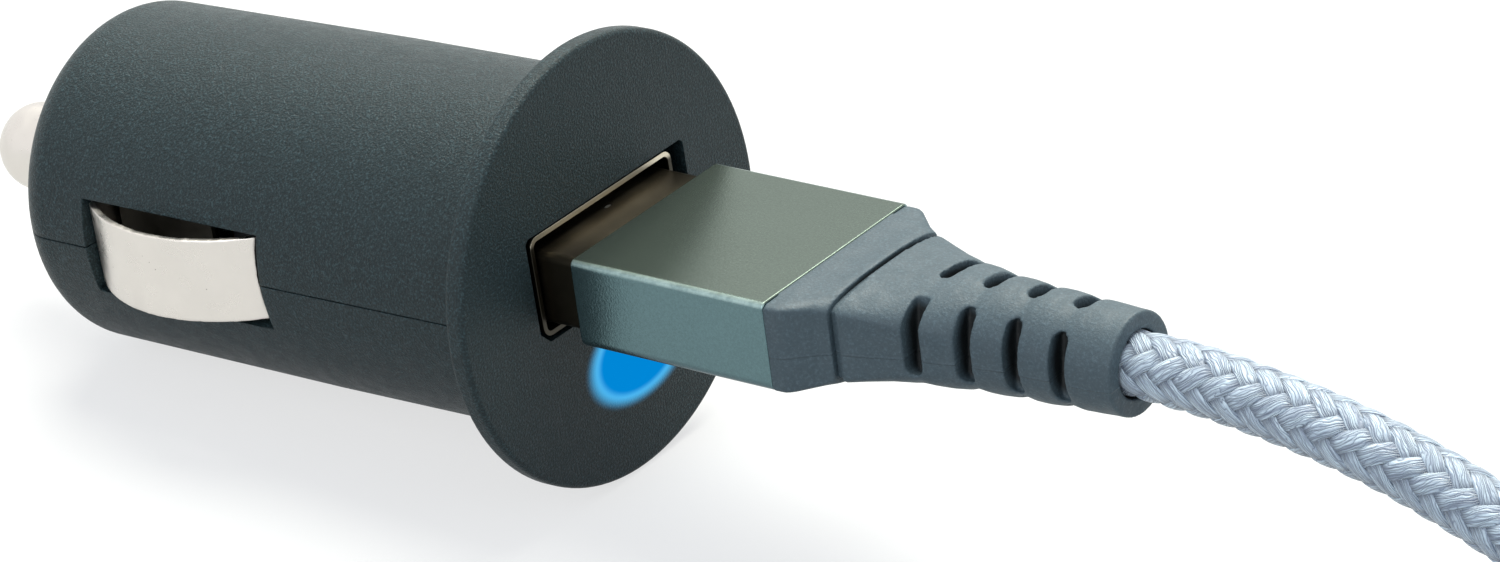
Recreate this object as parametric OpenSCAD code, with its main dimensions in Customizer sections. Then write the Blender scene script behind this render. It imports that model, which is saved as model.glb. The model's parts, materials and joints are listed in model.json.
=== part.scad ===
// Car USB charger plug with a lead plugged in, lying on a table.
// Millimetres. Each charger piece is drawn along the barrel's axis: +X leaves
// the USB port, the outer face of the flange is at x = 0, +Z is up at the
// parting plane. lying() then sets the whole object down on its flange and nose.

/* [Barrel] */
// Radius of the barrel between the flange and the side contacts
barrel_r = 10.4; // [10.2:0.05:10.6]
// Length of the barrel from the back of the flange to the nose
barrel_len = 36.3; // [36:0.1:38]
// How much the barrel's radius shrinks from the side contacts to the nose
barrel_taper = 0.2; // [0.05:0.05:0.4]
// Wall of the two half shells
wall = 1.5; // [1.2:0.1:1.7]
// Radius of the rounded nose edge
nose_round = 2.5; // [1.5:0.1:3]
// Wall across the nose
nose_wall = 1.8; // [1.5:0.1:2]
// Radius of the collar round the centre contact
collar_r = 4.6; // [4:0.1:5]
// Length of that collar ahead of the nose
collar_len = 2; // [1:0.1:3]
// Width of the fine line where the half shells meet
parting_gap = 0.08; // [0.04:0.01:0.12]

/* [Flange] */
// Radius of the flange
flange_r = 13.25; // [12.5:0.05:14]
// Thickness of the flange
flange_t = 1.3; // [1.2:0.1:1.6]
// Rounding of the flange's two edges
flange_edge = 0.35; // [0.2:0.05:0.45]
// Depth that the half shells sink into the back of the flange
shell_seat = 0.4; // [0.2:0.1:0.6]
// Length of the skirt inside the barrel
skirt_len = 3; // [2:0.1:3.5]

/* [Port] */
// Height of the port above the barrel's axis
port_z = 1; // [0.8:0.05:1.2]
// Width of the slot in the flange
slot_w = 13.9; // [13.7:0.05:14.1]
// Height of the slot in the flange
slot_h = 6.6; // [6.3:0.05:6.8]
// Chamfer of the slot's lower corners
slot_chamfer = 0.75; // [0.5:0.05:0.8]
// Width of the receptacle's opening
socket_w = 12.5; // [12.4:0.05:12.6]
// Height of the receptacle's opening
socket_h = 5.12; // [5.05:0.01:5.2]
// Sheet thickness of the receptacle's shell
socket_t = 0.3; // [0.25:0.05:0.35]
// Depth of the receptacle's shell
socket_len = 12.8; // [12.5:0.1:13.2]
// How far the receptacle's mouth sits behind the flange's face
socket_inset = 0.4; // [0.3:0.05:0.6]
// Radius of the light window
window_r = 2.5; // [2:0.1:2.6]
// Distance of the light window below the barrel's axis
window_drop = 6.1; // [5.8:0.05:6.4]

/* [Contacts] */
// Radius of the centre contact
pin_r = 2.75; // [2.5:0.05:3]
// Reach of the centre contact beyond the nose
pin_reach = 9.9; // [8:0.1:11]
// Travel of the centre contact
pin_travel = 4; // [3:0.1:4]
// Length of the side contact slots
leaf_slot_len = 13.9; // [13.5:0.1:14.5]
// Height of the side contact slots
leaf_slot_h = 6; // [5.8:0.1:6.2]
// Distance from the flange's face to the side contact slots
leaf_slot_x = 17.85; // [17.5:0.05:18.2]
// Width of a side contact's strip
leaf_w = 5.2; // [4.8:0.1:5.4]
// Sheet thickness of a side contact
leaf_t = 0.4; // [0.3:0.05:0.5]
// How far the crest of a side contact stands from the barrel's axis
leaf_crest = 11.75; // [11.5:0.05:12]
// Radius to which a side contact is bowed
leaf_bow_r = 10.6; // [10.2:0.1:11]

/* [Circuit] */
// Thickness of the circuit board
board_t = 1.2; // [1:0.1:1.4]
// Half width of the circuit board
board_half_w = 7.2; // [7:0.05:7.3]
// Half width of the circuit board between the side contacts
board_waist = 5.5; // [5.2:0.1:5.6]
// Side of the square choke
choke_side = 6; // [5:0.1:6.5]
// Height of the choke
choke_h = 3; // [2.5:0.1:3.5]
// Radius of the input capacitor
capacitor_r = 2; // [1.7:0.1:2]
// Height of the input capacitor
capacitor_h = 5.2; // [4.5:0.1:5.5]

/* [Lead] */
// Width of the plug's metal shell
plug_w = 12; // [11.9:0.05:12.1]
// Height of the plug's metal shell
plug_h = 4.5; // [4.4:0.05:4.55]
// Sheet thickness of the plug's metal shell
plug_t = 0.3; // [0.25:0.05:0.35]
// Length of metal shell ahead of the housing
plug_len = 11.8; // [11.5:0.1:12]
// Bare length of the metal shell that stays outside the flange's face
plug_bare = 2.9; // [2.8:0.1:3.2]
// Sag of the plug in its socket, in degrees
plug_droop = 1.4; // [0.8:0.1:1.5]
// Wall of the plug's housing at its two sides
housing_side = 0.8; // [0.6:0.05:1]
// Wall of the plug's housing above and below the plug
housing_face = 0.45; // [0.4:0.05:0.6]
// Length of the plug's housing
housing_len = 13.4; // [12.5:0.1:14]
// Edge radius of the plug's housing
housing_edge = 0.4; // [0.2:0.05:0.6]
// Length of the strain relief's straight collar
relief_collar = 0.9; // [0.6:0.1:1.2]
// Length of the whole strain relief
relief_len = 19.6; // [19:0.1:21]
// Radius of the strain relief at its end
relief_end_r = 2.9; // [2.7:0.05:3.1]
// Width of a flex slot in the strain relief
flex_w = 0.95; // [0.7:0.05:1.1]
// Depth of a flex slot
flex_depth = 1; // [0.6:0.05:1.1]
// Diameter of the braided cord
cord_d = 3.8; // [3.6:0.1:3.9]

/* [Far connector] */
// Width of the small connector's metal shell
tip_w = 8.3; // [8.2:0.05:8.4]
// Height of the small connector's metal shell
tip_h = 2.4; // [2.35:0.05:2.5]
// Length of the small connector's metal shell
tip_len = 6.6; // [6.5:0.1:7]
// Width of the small connector's housing
tail_w = 10.6; // [10:0.1:11]
// Height of the small connector's housing
tail_h = 5.4; // [5.2:0.1:5.8]
// Length of the small connector's housing
tail_len = 14; // [12:0.5:16]
// Length of the small connector's strain relief
tail_relief_len = 10; // [8:0.5:12]

/* [Hidden] */
$fn = 64;

// Running clearance between a moving piece and its guide, and between seated pieces
run_gap = 0.05;
seat_gap = 0.05;

// Barrel
nose_x = -(flange_t + barrel_len);
nose_r = barrel_r - barrel_taper;
inner_r = barrel_r - wall;
shell_front = -flange_t + shell_seat;
spigot_r = barrel_r - 0.3;
nose_inside = nose_x + nose_wall;
leaf_slot_end = -leaf_slot_x;
leaf_slot_start = leaf_slot_end - leaf_slot_len;
taper_x = leaf_slot_end + 0.6;
collar_draft = 0.4;
lip_depth = 0.5;

// Centre contact, its spring and the tube that guides them
pin_tip = nose_x - pin_reach;
pin_bore = pin_r + run_gap;
shoulder_r = pin_r + 1.25;
shoulder_t = 1;
shoulder_front = nose_inside + run_gap;
stub_r = 1.9;
stub_len = 2;
guide_in = shoulder_r + 2 * run_gap;
guide_out = guide_in + 1;
spring_r = 2.9;
spring_wire = 0.25;
spring_turns = 5.5;
spring_room = 3.9;
seat_t = 0.6;
seat_front = shoulder_front + shoulder_t + pin_travel + spring_room;
spring_front = shoulder_front + shoulder_t;
guide_end = seat_front + seat_t + 0.4;

// Side contacts: a strip bowed about an upright axis
leaf_mid = (leaf_slot_start + leaf_slot_end) / 2 - 0.2;
leaf_centre_y = leaf_crest - leaf_bow_r;
leaf_half_angle = asin((leaf_slot_len / 2 - 0.35) / leaf_bow_r);
leaf_root_x = leaf_mid - (leaf_bow_r - leaf_t / 2) * sin(leaf_half_angle);
leaf_root_y = leaf_centre_y + (leaf_bow_r - leaf_t / 2) * cos(leaf_half_angle);
leaf_leg = 2.4;
strap_t = 0.3;
strap_gap = 0.15;
strap_y = board_half_w + 0.1;
strap_h = 4.2;
strap_tab = 1.3;
strap_start = leaf_root_x + leaf_t / 2 + strap_gap;
strap_foot = 2;

// Circuit board, under the receptacle
socket_out_w = socket_w + 2 * socket_t;
socket_out_h = socket_h + 2 * socket_t;
socket_corner = 0.6;
board_top = port_z - socket_out_h / 2 - seat_gap;
board_rear = guide_end + 0.2;
board_front = -flange_t - skirt_len - 0.3;
waist_start = leaf_mid + 1.5;
waist_end = leaf_slot_end + 3.45;
strap_end = waist_start - 0.3;
seat_leg = 1.2;
choke_at = [board_rear + seat_leg + 0.25 + choke_side / 2, -board_waist + choke_side / 2];
chip_at = choke_at[0] + 1.2;
chip_size = [4.9, 3.9, 1.4];
chip_legs = 4;
chip_pitch = 1.27;
filter_size = [3.2, 1.6, 1.4];
filter_at = [chip_at - filter_size[0] / 2, board_waist - filter_size[1] - 0.3];
socket_front = -socket_inset;
socket_rear = socket_front - socket_len;
capacitor_at = [socket_rear - capacitor_r - 0.5, board_waist - capacitor_r - 0.3];
grip_from = 5;
grip_len = 4.5;
grip_w = 1.8;
grip_y = 3;
lip_len = 0.9;
lip_rise = 0.15;
leg_w = 1.4;
leg_len = board_t + 0.8;
leg_at = [-5.6, -10.6];
skirt_r = inner_r - seat_gap;
skirt_wall = 1.2;
boss_r = 1;
boss_pin_r = 0.55;
boss_pin_len = 1.2;
boss_at = [[nose_x + 3.7, inner_r - 1.8], [waist_end - 1.2, inner_r - 1.3]];
rail_w = 0.6;

// Light window and lamp
stem_r = 1.4;
stem_end = -flange_t - skirt_len - 0.4;
lamp_r = 1.5;
lamp_len = 3.2;

// Lead, drawn along its own axis and then sagging in the port
plug_gap = 0.05;
housing_w = plug_w + 2 * (plug_gap + housing_side);
housing_h = plug_h + 2 * (plug_gap + housing_face);
plug_tip = plug_bare - plug_len;
plug_pivot = plug_tip / 2;
housing_end = plug_bare + housing_len;
plug_corner = 0.45;
plug_inside = 5;
insulator_h = 1.9;
contact_t = 0.1;
contact_rows = [-3.5, -1, 1, 3.5];
contact_w = 1;
contact_len = 7.4;
tongue_w = 11;
hole_from = 5.2;
hole_size = [2.2, 2.4];
hole_y = 2.9;
tongue_t = 1.35;
tongue_low = 0.35;
tongue_front = plug_tip + contact_len + 0.2;
tongue_root = plug_tip - 1.3;
relief_start = housing_end;
relief_end = relief_start + relief_len;
groove_at = relief_start + relief_collar + 2.1;
groove_w = 0.45;
groove_depth = 0.35;
flex_pitch = 2.95;
flex_first = groove_at + 4.9;
flex_count = 4;
flex_half = [2, 1.9, 1.85, 1.8];
flex_top_half = [1.7, 1.05, 0.95, 0.95];

// Strain relief sections: place after the groove, half width, straight side, crown
relief_form = [
    [0, 5.25, 2, 0.85],
    [1.5, 4.8, 1.75, 1.1],
    [3, 4.35, 1.45, 1.4],
    [4.8, 3.95, 1.1, 1.85],
    [6.5, 3.55, 0.75, 2.3],
    [8.5, 3.25, 0.4, 2.65],
    [10.5, 3.12, 0.18, 2.88],
    [13, 3.02, 0.06, 2.95]
];
relief_steps = 32;
relief_at = [0, 1.5, 3, 4, 4.8, 5.6, 6.5, 7.5, 8.5, 10.5, 13];

// Resting pose: the line that touches the flange's back edge and the nose round
rest_dx = (-flange_t + flange_edge) - (nose_x + nose_round);
rest_dz = (flange_r - flange_edge) - (nose_r - nose_round);
rest_tilt = atan2(rest_dz, rest_dx) + asin((flange_edge - nose_round) / norm([rest_dx, rest_dz]));
rest_h = flange_edge + (flange_t - flange_edge) * sin(rest_tilt) + (flange_r - flange_edge) * cos(rest_tilt);
left_x = (pin_tip + pin_r) * cos(rest_tilt) - pin_r;
relief_tilt = rest_tilt - plug_droop;
right_x = plug_pivot * cos(rest_tilt) - port_z * sin(rest_tilt)
    + (relief_end - plug_pivot) * cos(relief_tilt) + relief_end_r * sin(relief_tilt);
middle_x = (left_x + right_x) / 2;

// Cord: from the strain relief down to the table, then into the coil
cord_r = cord_d / 2;
cord_sides = 8;
cord_route = [
    [41.2, 0, 16.5], [45.4, 0, 16.6], [49.2, 0, 16.4], [53, 0, 16], [56.5, 0, 15.4],
    [60, 0, 14.5], [63.6, 0, 13.3], [68, 0, 11.4], [73, 0, 9], [78, 0, 6.8],
    [83, 0, 4.9], [88, 0, 3.5], [93, 0, 2.7], [98, 0, 2.5]
];
coil_centre = [104, -28];
coil_low = 0.6;
coil_out = 28;
coil_columns = [4, 3];
coil_in = coil_out - (coil_columns[0] - 1) * cord_d;
tie_t = 0.55;
tie_angle = 17;
tie_from = 200;
tail_route = [
    [104, -56, 6.3], [98, -56.2, 5.7], [92, -56.7, 4.5], [86, -57.4, 3.3], [80, -58, 2.7]
];
tail_at = [80, -58, tail_h / 2];
tail_relief_r = 2.6;
tail_relief_end_r = 2.35;
tip_t = 0.25;
tip_plate = 0.7;

// Poses

module lying() {
    translate([-middle_x, 0, rest_h]) rotate([0, -rest_tilt, 0]) children();
}

module plugged() {
    lying() translate([plug_pivot, 0, port_z]) rotate([0, plug_droop, 0])
        translate([-plug_pivot, 0, 0]) children();
}

module far_end() {
    translate(tail_at) rotate([0, 0, 180]) children();
}

// Shared forms

module turned(angle = 360, start = 0) {
    rotate([0, 90, 0]) rotate_extrude(angle = angle, start = start) children();
}

// A block centred on y and z that starts at x0
module block(x0, x1, y, z) {
    translate([x0, -y / 2, -z / 2]) cube([x1 - x0, y, z]);
}

// A bar with a cross-section drawn as [y, z], from x0 to x1
module bar(x0, x1) {
    translate([x0, 0, 0]) rotate([90, 0, 90]) linear_extrude(x1 - x0) children();
}

module rounded_outline(w, h, r) {
    square([w - 2 * r, h], center = true);
    square([w, h - 2 * r], center = true);
    for (y = [-1, 1], z = [-1, 1]) translate([y * (w / 2 - r), z * (h / 2 - r)]) circle(r, $fn = 24);
}

module stadium_outline(w, h) {
    square([w - h, h], center = true);
    for (y = [-1, 1]) translate([y * (w - h) / 2, 0]) circle(h / 2, $fn = 32);
}

// Barrel, drawn as [radius, x]

module barrel_outline() {
    polygon([
        [0, shell_front], [spigot_r, shell_front], [spigot_r, -flange_t],
        [barrel_r, -flange_t], [barrel_r, taper_x],
        [nose_r, nose_x + nose_round], [0, nose_x + nose_round]
    ]);
    translate([0, nose_x]) square([nose_r - nose_round, nose_round]);
    translate([nose_r - nose_round, nose_x + nose_round]) circle(nose_round);
    polygon([
        [0, nose_x], [collar_r, nose_x],
        [collar_r - collar_draft, nose_x - collar_len], [0, nose_x - collar_len]
    ]);
}

module barrel_hollow() {
    difference() {
        polygon([
            [0, shell_front + 1], [inner_r, shell_front + 1], [inner_r, taper_x],
            [nose_r - wall, nose_x + nose_round], [nose_r - nose_round, nose_inside],
            [0, nose_inside]
        ]);
        translate([guide_in, nose_inside - 1]) square([guide_out - guide_in, guide_end - nose_inside + 1]);
    }
    translate([0, nose_x - collar_len - 1]) square([pin_bore, collar_len + nose_wall + 2]);
}

module leaf_slots() {
    for (side = [-1, 1])
        translate([leaf_slot_start, side * barrel_r - 2.4, -leaf_slot_h / 2])
            cube([leaf_slot_len, 4.8, leaf_slot_h]);
}

module parting_line() {
    difference() {
        block(nose_x - collar_len - 1, shell_front + 1, 3 * barrel_r, parting_gap);
        turned() {
            polygon([
                [0, shell_front + 2], [barrel_r - lip_depth, shell_front + 2],
                [barrel_r - lip_depth, taper_x], [nose_r - lip_depth, nose_x + nose_round],
                [nose_r - nose_round, nose_x + lip_depth], [0, nose_x + lip_depth]
            ]);
        }
    }
}

module half_shell(side) {
    difference() {
        union() {
            turned(180, side > 0 ? 90 : 270) difference() {
                barrel_outline();
                barrel_hollow();
            }
            intersection() {
                for (at = boss_at, y = [-1, 1])
                    translate([at[0], y * at[1], side > 0 ? 0 : -wall * 2.4])
                        cylinder(r = boss_r, h = wall * 2.4);
                turned(180, side > 0 ? 90 : 270) barrel_outline();
            }
        }
        leaf_slots();
        parting_line();
    }
}

module upper_shell() {
    color("#3f494e") lying() {
        half_shell(1);
        for (at = boss_at, y = [-1, 1])
            translate([at[0], y * at[1], -boss_pin_len]) cylinder(r = boss_pin_r, h = boss_pin_len + 1);
    }
}

module lower_shell() {
    color("#3b454a") lying() difference() {
        union() {
            half_shell(-1);
            board_rails();
        }
        for (at = boss_at, y = [-1, 1])
            translate([at[0], y * at[1], -boss_pin_len - 0.3])
                cylinder(r = boss_pin_r + run_gap, h = boss_pin_len + 1);
    }
}

// Two rails that carry the board's edges
module board_rails() {
    rail_top = board_top - board_t;
    intersection() {
        for (side = [-1, 1])
            translate([waist_end + 1, side > 0 ? board_half_w - rail_w : -barrel_r, rail_top - 4])
                cube([board_front - waist_end - 2, barrel_r - board_half_w + rail_w, 4]);
        turned(180, 270) barrel_outline();
        translate([nose_x, -barrel_r, -barrel_r]) cube([barrel_len, 2 * barrel_r, rail_top + barrel_r]);
    }
}

module flange_outline() {
    translate([0, -flange_t]) square([flange_r - flange_edge, flange_t]);
    translate([0, -flange_t + flange_edge]) square([flange_r, flange_t - 2 * flange_edge]);
    for (x = [-flange_edge, -flange_t + flange_edge])
        translate([flange_r - flange_edge, x]) circle(flange_edge, $fn = 32);
}

module face_plate() {
    color("#3d474c") lying() difference() {
        union() {
            turned() difference() {
                flange_outline();
                translate([skirt_r, -flange_t - 1]) square([barrel_r + seat_gap - skirt_r, 1 + shell_seat]);
            }
            turned() translate([skirt_r - skirt_wall, -flange_t - skirt_len])
                square([skirt_wall, skirt_len + 0.2]);
        }
        translate([0, 0, port_z]) bar(-flange_t - 0.1, 1) port_slot();
        translate([0, 0, -window_drop]) rotate([0, 90, 0])
            cylinder(r = window_r + seat_gap, h = 3 * flange_t, center = true);
        translate([0, 0, port_z]) block(-flange_t - skirt_len - 1, -flange_t, socket_out_w + 0.3, socket_out_h + 0.3);
        translate([0, 0, board_top - board_t / 2])
            block(-flange_t - skirt_len - 1, -flange_t - skirt_len + 1.2, 2 * board_half_w + 0.4, board_t + 0.4);
    }
}

module port_slot() {
    w = slot_w / 2;
    h = slot_h / 2;
    top = slot_chamfer / 3;
    polygon([
        [-w, h - top], [-w + top, h], [w - top, h], [w, h - top],
        [w, -h + slot_chamfer], [w - slot_chamfer, -h], [-w + slot_chamfer, -h], [-w, -h + slot_chamfer]
    ]);
}

module light_window() {
    color("#2f9fe6") lying() translate([0, 0, -window_drop]) rotate([0, 90, 0]) {
        translate([0, 0, -flange_t]) cylinder(r = window_r, h = flange_t);
        translate([0, 0, stem_end]) cylinder(r = stem_r, h = -stem_end - flange_t + 0.1);
    }
}

// Centre contact: round-nosed pin, shoulder that stops it, stub inside the spring
module nose_contact() {
    color("#d9d6d0") lying() turned() {
        translate([0, pin_tip + pin_r]) square([pin_r, shoulder_front - pin_tip - pin_r + 0.1]);
        intersection() {
            translate([0, pin_tip + pin_r]) circle(pin_r);
            translate([0, pin_tip]) square([pin_r, pin_r]);
        }
        translate([0, shoulder_front]) square([shoulder_r, shoulder_t]);
        translate([0, shoulder_front]) square([stub_r, shoulder_t + stub_len]);
    }
}

function spring_point(t) = [
    spring_front + spring_wire + t * (seat_front - spring_front - 2 * spring_wire),
    spring_r * cos(360 * spring_turns * t),
    spring_r * sin(360 * spring_turns * t)
];

module contact_spring() {
    steps = 20 * spring_turns;
    color("#b9bcc0") lying() sweep([for (i = [0:steps]) spring_point(i / steps)], spring_wire, 6, [1, 0, 0]);
}

// Brass seat behind the spring, with a leg soldered to the board
module spring_seat() {
    color("#c8a24a") lying() {
        turned() translate([0, seat_front]) square([guide_in - run_gap, seat_t]);
        translate([seat_front + seat_t - 0.1, -1, board_top])
            cube([board_rear + seat_leg - seat_front - seat_t + 0.1, 2, 0.3]);
    }
}

// Bowed strip with a short leg turned inward at its nose end
module side_contact() {
    translate([leaf_mid, leaf_centre_y, 0])
        rotate_extrude(angle = 2 * leaf_half_angle, start = 90 - leaf_half_angle)
            translate([leaf_bow_r - leaf_t, -leaf_w / 2]) square([leaf_t, leaf_w]);
    translate([leaf_root_x - leaf_t / 2, leaf_root_y - leaf_leg, -leaf_w / 2 + 0.4])
        cube([leaf_t, leaf_leg, leaf_w - 0.8]);
}

module side_contact_left() {
    color("#d8d1cd") lying() mirror([0, 1, 0]) side_contact();
}

module side_contact_right() {
    color("#d8d1cd") lying() side_contact();
}

// Strip that takes a side contact's current to the board
module ground_strap() {
    translate([strap_start, strap_y, -strap_h / 2]) cube([strap_end - strap_start, strap_t, strap_h]);
    translate([strap_start, strap_y - strap_tab, -strap_h / 2]) cube([strap_t, strap_tab + 0.1, strap_h]);
    translate([strap_end - strap_foot, board_waist, board_top])
        cube([strap_foot, strap_y - board_waist + strap_t, strap_t]);
}

module ground_strap_left() {
    color("#c9c6bd") lying() mirror([0, 1, 0]) ground_strap();
}

module ground_strap_right() {
    color("#c9c6bd") lying() ground_strap();
}

module board_outline() {
    w = board_half_w;
    polygon([
        [board_rear, -w], [waist_start, -w], [waist_start, -board_waist], [waist_end, -board_waist],
        [waist_end, -w], [board_front, -w], [board_front, w], [waist_end, w],
        [waist_end, board_waist], [waist_start, board_waist], [waist_start, w], [board_rear, w]
    ]);
}

module socket_legs(extra) {
    for (x = leg_at, side = [-1, 1])
        translate([x - leg_w / 2 - extra, side * (socket_out_w - socket_t) / 2 - socket_t / 2 - extra, board_top - leg_len])
            cube([leg_w + 2 * extra, socket_t + 2 * extra, leg_len + socket_out_h / 3]);
}

module circuit_board() {
    color("#1e5a3a") lying() difference() {
        translate([0, 0, board_top - board_t]) linear_extrude(board_t) board_outline();
        socket_legs(0.15);
    }
}

// Stamped shell of the receptacle: open box, flared lips, legs through the board
module socket_shell() {
    color("#b8ad97") lying() {
        translate([0, 0, port_z]) difference() {
            bar(socket_rear, socket_front) rounded_outline(socket_out_w, socket_out_h, socket_corner);
            bar(socket_rear - 1, socket_front + 1) rounded_outline(socket_w, socket_h, socket_corner - socket_t);
            for (y = [-grip_y, grip_y])
                translate([0, y, 0])
                    block(socket_rear + grip_from, socket_rear + grip_from + grip_len, grip_w, 2 * socket_out_h);
        }
        for (side = [-1, 1])
            translate([0, 0, port_z]) mirror([0, 0, side > 0 ? 0 : 1])
                translate([0, socket_w / 2 - 1, 0]) rotate([90, 0, 0]) linear_extrude(socket_w - 2) lip_outline();
        socket_legs(0);
    }
}

module lip_outline() {
    z = socket_h / 2;
    polygon([
        [socket_front - lip_len, z], [socket_front - lip_len / 2, z], [socket_front, z + lip_rise],
        [socket_front, z + lip_rise + socket_t], [socket_front - lip_len / 2, z + socket_t],
        [socket_front - lip_len, z + socket_t]
    ]);
}

module socket_tongue() {
    color("#20262a") lying() translate([0, 0, port_z]) {
        bar(socket_rear + 0.1, tongue_root) rounded_outline(
            socket_w - 2 * seat_gap, socket_h - 2 * seat_gap, socket_corner - socket_t - seat_gap
        );
        translate([tongue_root - 0.1, -tongue_w / 2, tongue_low])
            cube([tongue_front - tongue_root, tongue_w, tongue_t]);
    }
}

module socket_contacts() {
    color("#d3b25e") lying() translate([0, 0, port_z])
        for (y = contact_rows)
            translate([tongue_root, y - contact_w / 2, tongue_low - contact_t])
                cube([tongue_front - tongue_root - 0.8, contact_w, contact_t]);
}

// Shielded power choke: square core with a round drum and its winding gap
module choke() {
    color("#4a4d50") lying() translate([choke_at[0], choke_at[1], board_top]) {
        difference() {
            translate([0, 0, choke_h / 2]) cube([choke_side, choke_side, choke_h], center = true);
            translate([0, 0, choke_h - 0.4]) cylinder(r = choke_side * 0.4, h = 1);
        }
        translate([0, 0, choke_h - 0.5]) cylinder(r = choke_side * 0.33, h = 0.5);
    }
}

module input_capacitor() {
    color("#9aa0a6") lying() translate([capacitor_at[0], capacitor_at[1], board_top]) {
        cylinder(r = capacitor_r, h = capacitor_h);
        translate([-capacitor_r, -capacitor_r, 0]) cube([2 * capacitor_r, 2 * capacitor_r, 0.5]);
    }
}

module output_capacitor() {
    color("#b08f66") lying() translate([filter_at[0], filter_at[1], board_top - board_t - filter_size[2]])
        cube(filter_size);
}

// Regulator on the underside of the board, with its two rows of legs
module regulator_chip() {
    color("#25282b") lying() translate([chip_at, 0, board_top - board_t]) mirror([0, 0, 1]) {
        translate([-chip_size[0] / 2, -chip_size[1] / 2, 0.1]) cube(chip_size);
        for (i = [0:chip_legs - 1], side = [-1, 1])
            translate([(i - (chip_legs - 1) / 2) * chip_pitch - 0.2, side * (chip_size[1] / 2 + 0.45) - 0.6, 0])
                cube([0.4, 1.2, 0.2]);
    }
}

// Lamp behind the light window: domed body, rim and two legs up to the board
module status_led() {
    lamp_front = stem_end - 0.1;
    color("#bfe3ff") lying() {
        translate([0, 0, -window_drop]) turned() {
            translate([0, lamp_front - lamp_len]) square([lamp_r, lamp_len - lamp_r]);
            intersection() {
                translate([0, lamp_front - lamp_r]) circle(lamp_r, $fn = 32);
                translate([0, lamp_front - lamp_r]) square([lamp_r, lamp_r]);
            }
        }
        for (y = [-0.9, 0.9]) {
            translate([lamp_front - lamp_len - 1.5, y - 0.2, -window_drop - 0.2]) cube([1.7, 0.4, 0.4]);
            translate([lamp_front - lamp_len - 1.5, y - 0.2, -window_drop - 0.2])
                cube([0.4, 0.4, window_drop + 0.2 + board_top - board_t]);
        }
    }
}

// Lead

module plug_shell() {
    color("#8d8a80") plugged() difference() {
        bar(plug_tip, plug_bare + plug_inside) rounded_outline(plug_w, plug_h, plug_corner);
        bar(plug_tip - 1, plug_bare + plug_inside + 1)
            rounded_outline(plug_w - 2 * plug_t, plug_h - 2 * plug_t, plug_corner - plug_t);
        for (y = [-hole_y, hole_y], z = [-1, 1])
            translate([plug_tip + hole_from, y - hole_size[1] / 2, z * plug_h / 2 - 0.5])
                cube([hole_size[0], hole_size[1], 1]);
    }
}

module plug_insulator() {
    low = -plug_h / 2 + plug_t + plug_gap;
    color("#e9e9e4") plugged() {
        translate([plug_tip + 0.3, -plug_w / 2 + plug_t + plug_gap, low])
            cube([plug_inside + plug_len - 0.4, plug_w - 2 * plug_t - 2 * plug_gap, insulator_h - plug_gap]);
    }
}

module plug_contacts() {
    low = -plug_h / 2 + plug_t + insulator_h;
    color("#d3b25e") plugged()
        for (y = contact_rows)
            translate([plug_tip + 0.9, y - contact_w / 2, low]) cube([contact_len, contact_w, contact_t]);
}

// Aluminium sleeve round the back of the plug's metal shell
module plug_housing() {
    color("#74817a") plugged() difference() {
        bar(plug_bare, housing_end) rounded_outline(housing_w, housing_h, housing_edge);
        block(plug_bare - 1, housing_end + 1, plug_w + 2 * plug_gap, plug_h + 2 * plug_gap);
    }
}

function form_at(x, k) = lookup(x - groove_at, [for (f = relief_form) [f[0], f[k]]]);
function relief_section(x, shrink = 0) = [
    x, form_at(x, 1) - shrink, form_at(x, 2) - shrink * 0.5, form_at(x, 3) - shrink * 0.5
];

// Sections of the strain relief from the housing to the cord, groove included
relief_sections = concat(
    [[relief_start, housing_w / 2, housing_h / 2 - 0.15, 0.15]],
    [[relief_start + relief_collar, housing_w / 2, housing_h / 2 - 0.15, 0.15]],
    [[relief_start + relief_collar + 0.7, housing_w / 2 - 0.55, housing_h / 2 - 0.3, 0.3]],
    [relief_section(groove_at - groove_w)],
    [relief_section(groove_at - groove_w + 0.06, groove_depth)],
    [relief_section(groove_at - 0.06, groove_depth)],
    [for (x = relief_at) relief_section(groove_at + x)],
    [[relief_end - 0.3, relief_end_r, 0.05, relief_end_r - 0.05]],
    [[relief_end, relief_end_r - 0.15, 0.05, relief_end_r - 0.2]]
);

function section_ring(s) = [
    for (i = [0:relief_steps - 1])
        let (top = i < relief_steps / 2, a = 180 * (i % (relief_steps / 2)) / (relief_steps / 2 - 1))
            top ? [s[0], s[1] * cos(a), s[2] + s[3] * sin(a)]
                : [s[0], -s[1] * cos(a), -s[2] - s[3] * sin(a)]
];

module loft(rings) {
    n = len(rings[0]);
    last = (len(rings) - 1) * n;
    points = [for (ring = rings, p = ring) p];
    faces = concat(
        [[for (i = [0:n - 1]) i]],
        [for (k = [0:len(rings) - 2], i = [0:n - 1])
            [k * n + i, (k + 1) * n + i, (k + 1) * n + (i + 1) % n, k * n + (i + 1) % n]],
        [[for (i = [0:n - 1]) last + n - 1 - i]]
    );
    polyhedron(points, faces, convexity = 4);
}

// One flex slot with round ends, as deep as flex_depth below the surface at reach
module flex_slot(half, reach) {
    translate([-flex_w / 2, -half + flex_w / 2, reach - flex_depth]) cube([flex_w, 2 * half - flex_w, 3]);
    for (side = [-1, 1])
        translate([0, side * (half - flex_w / 2), reach - flex_depth]) cylinder(d = flex_w, h = 3, $fn = 12);
}

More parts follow.
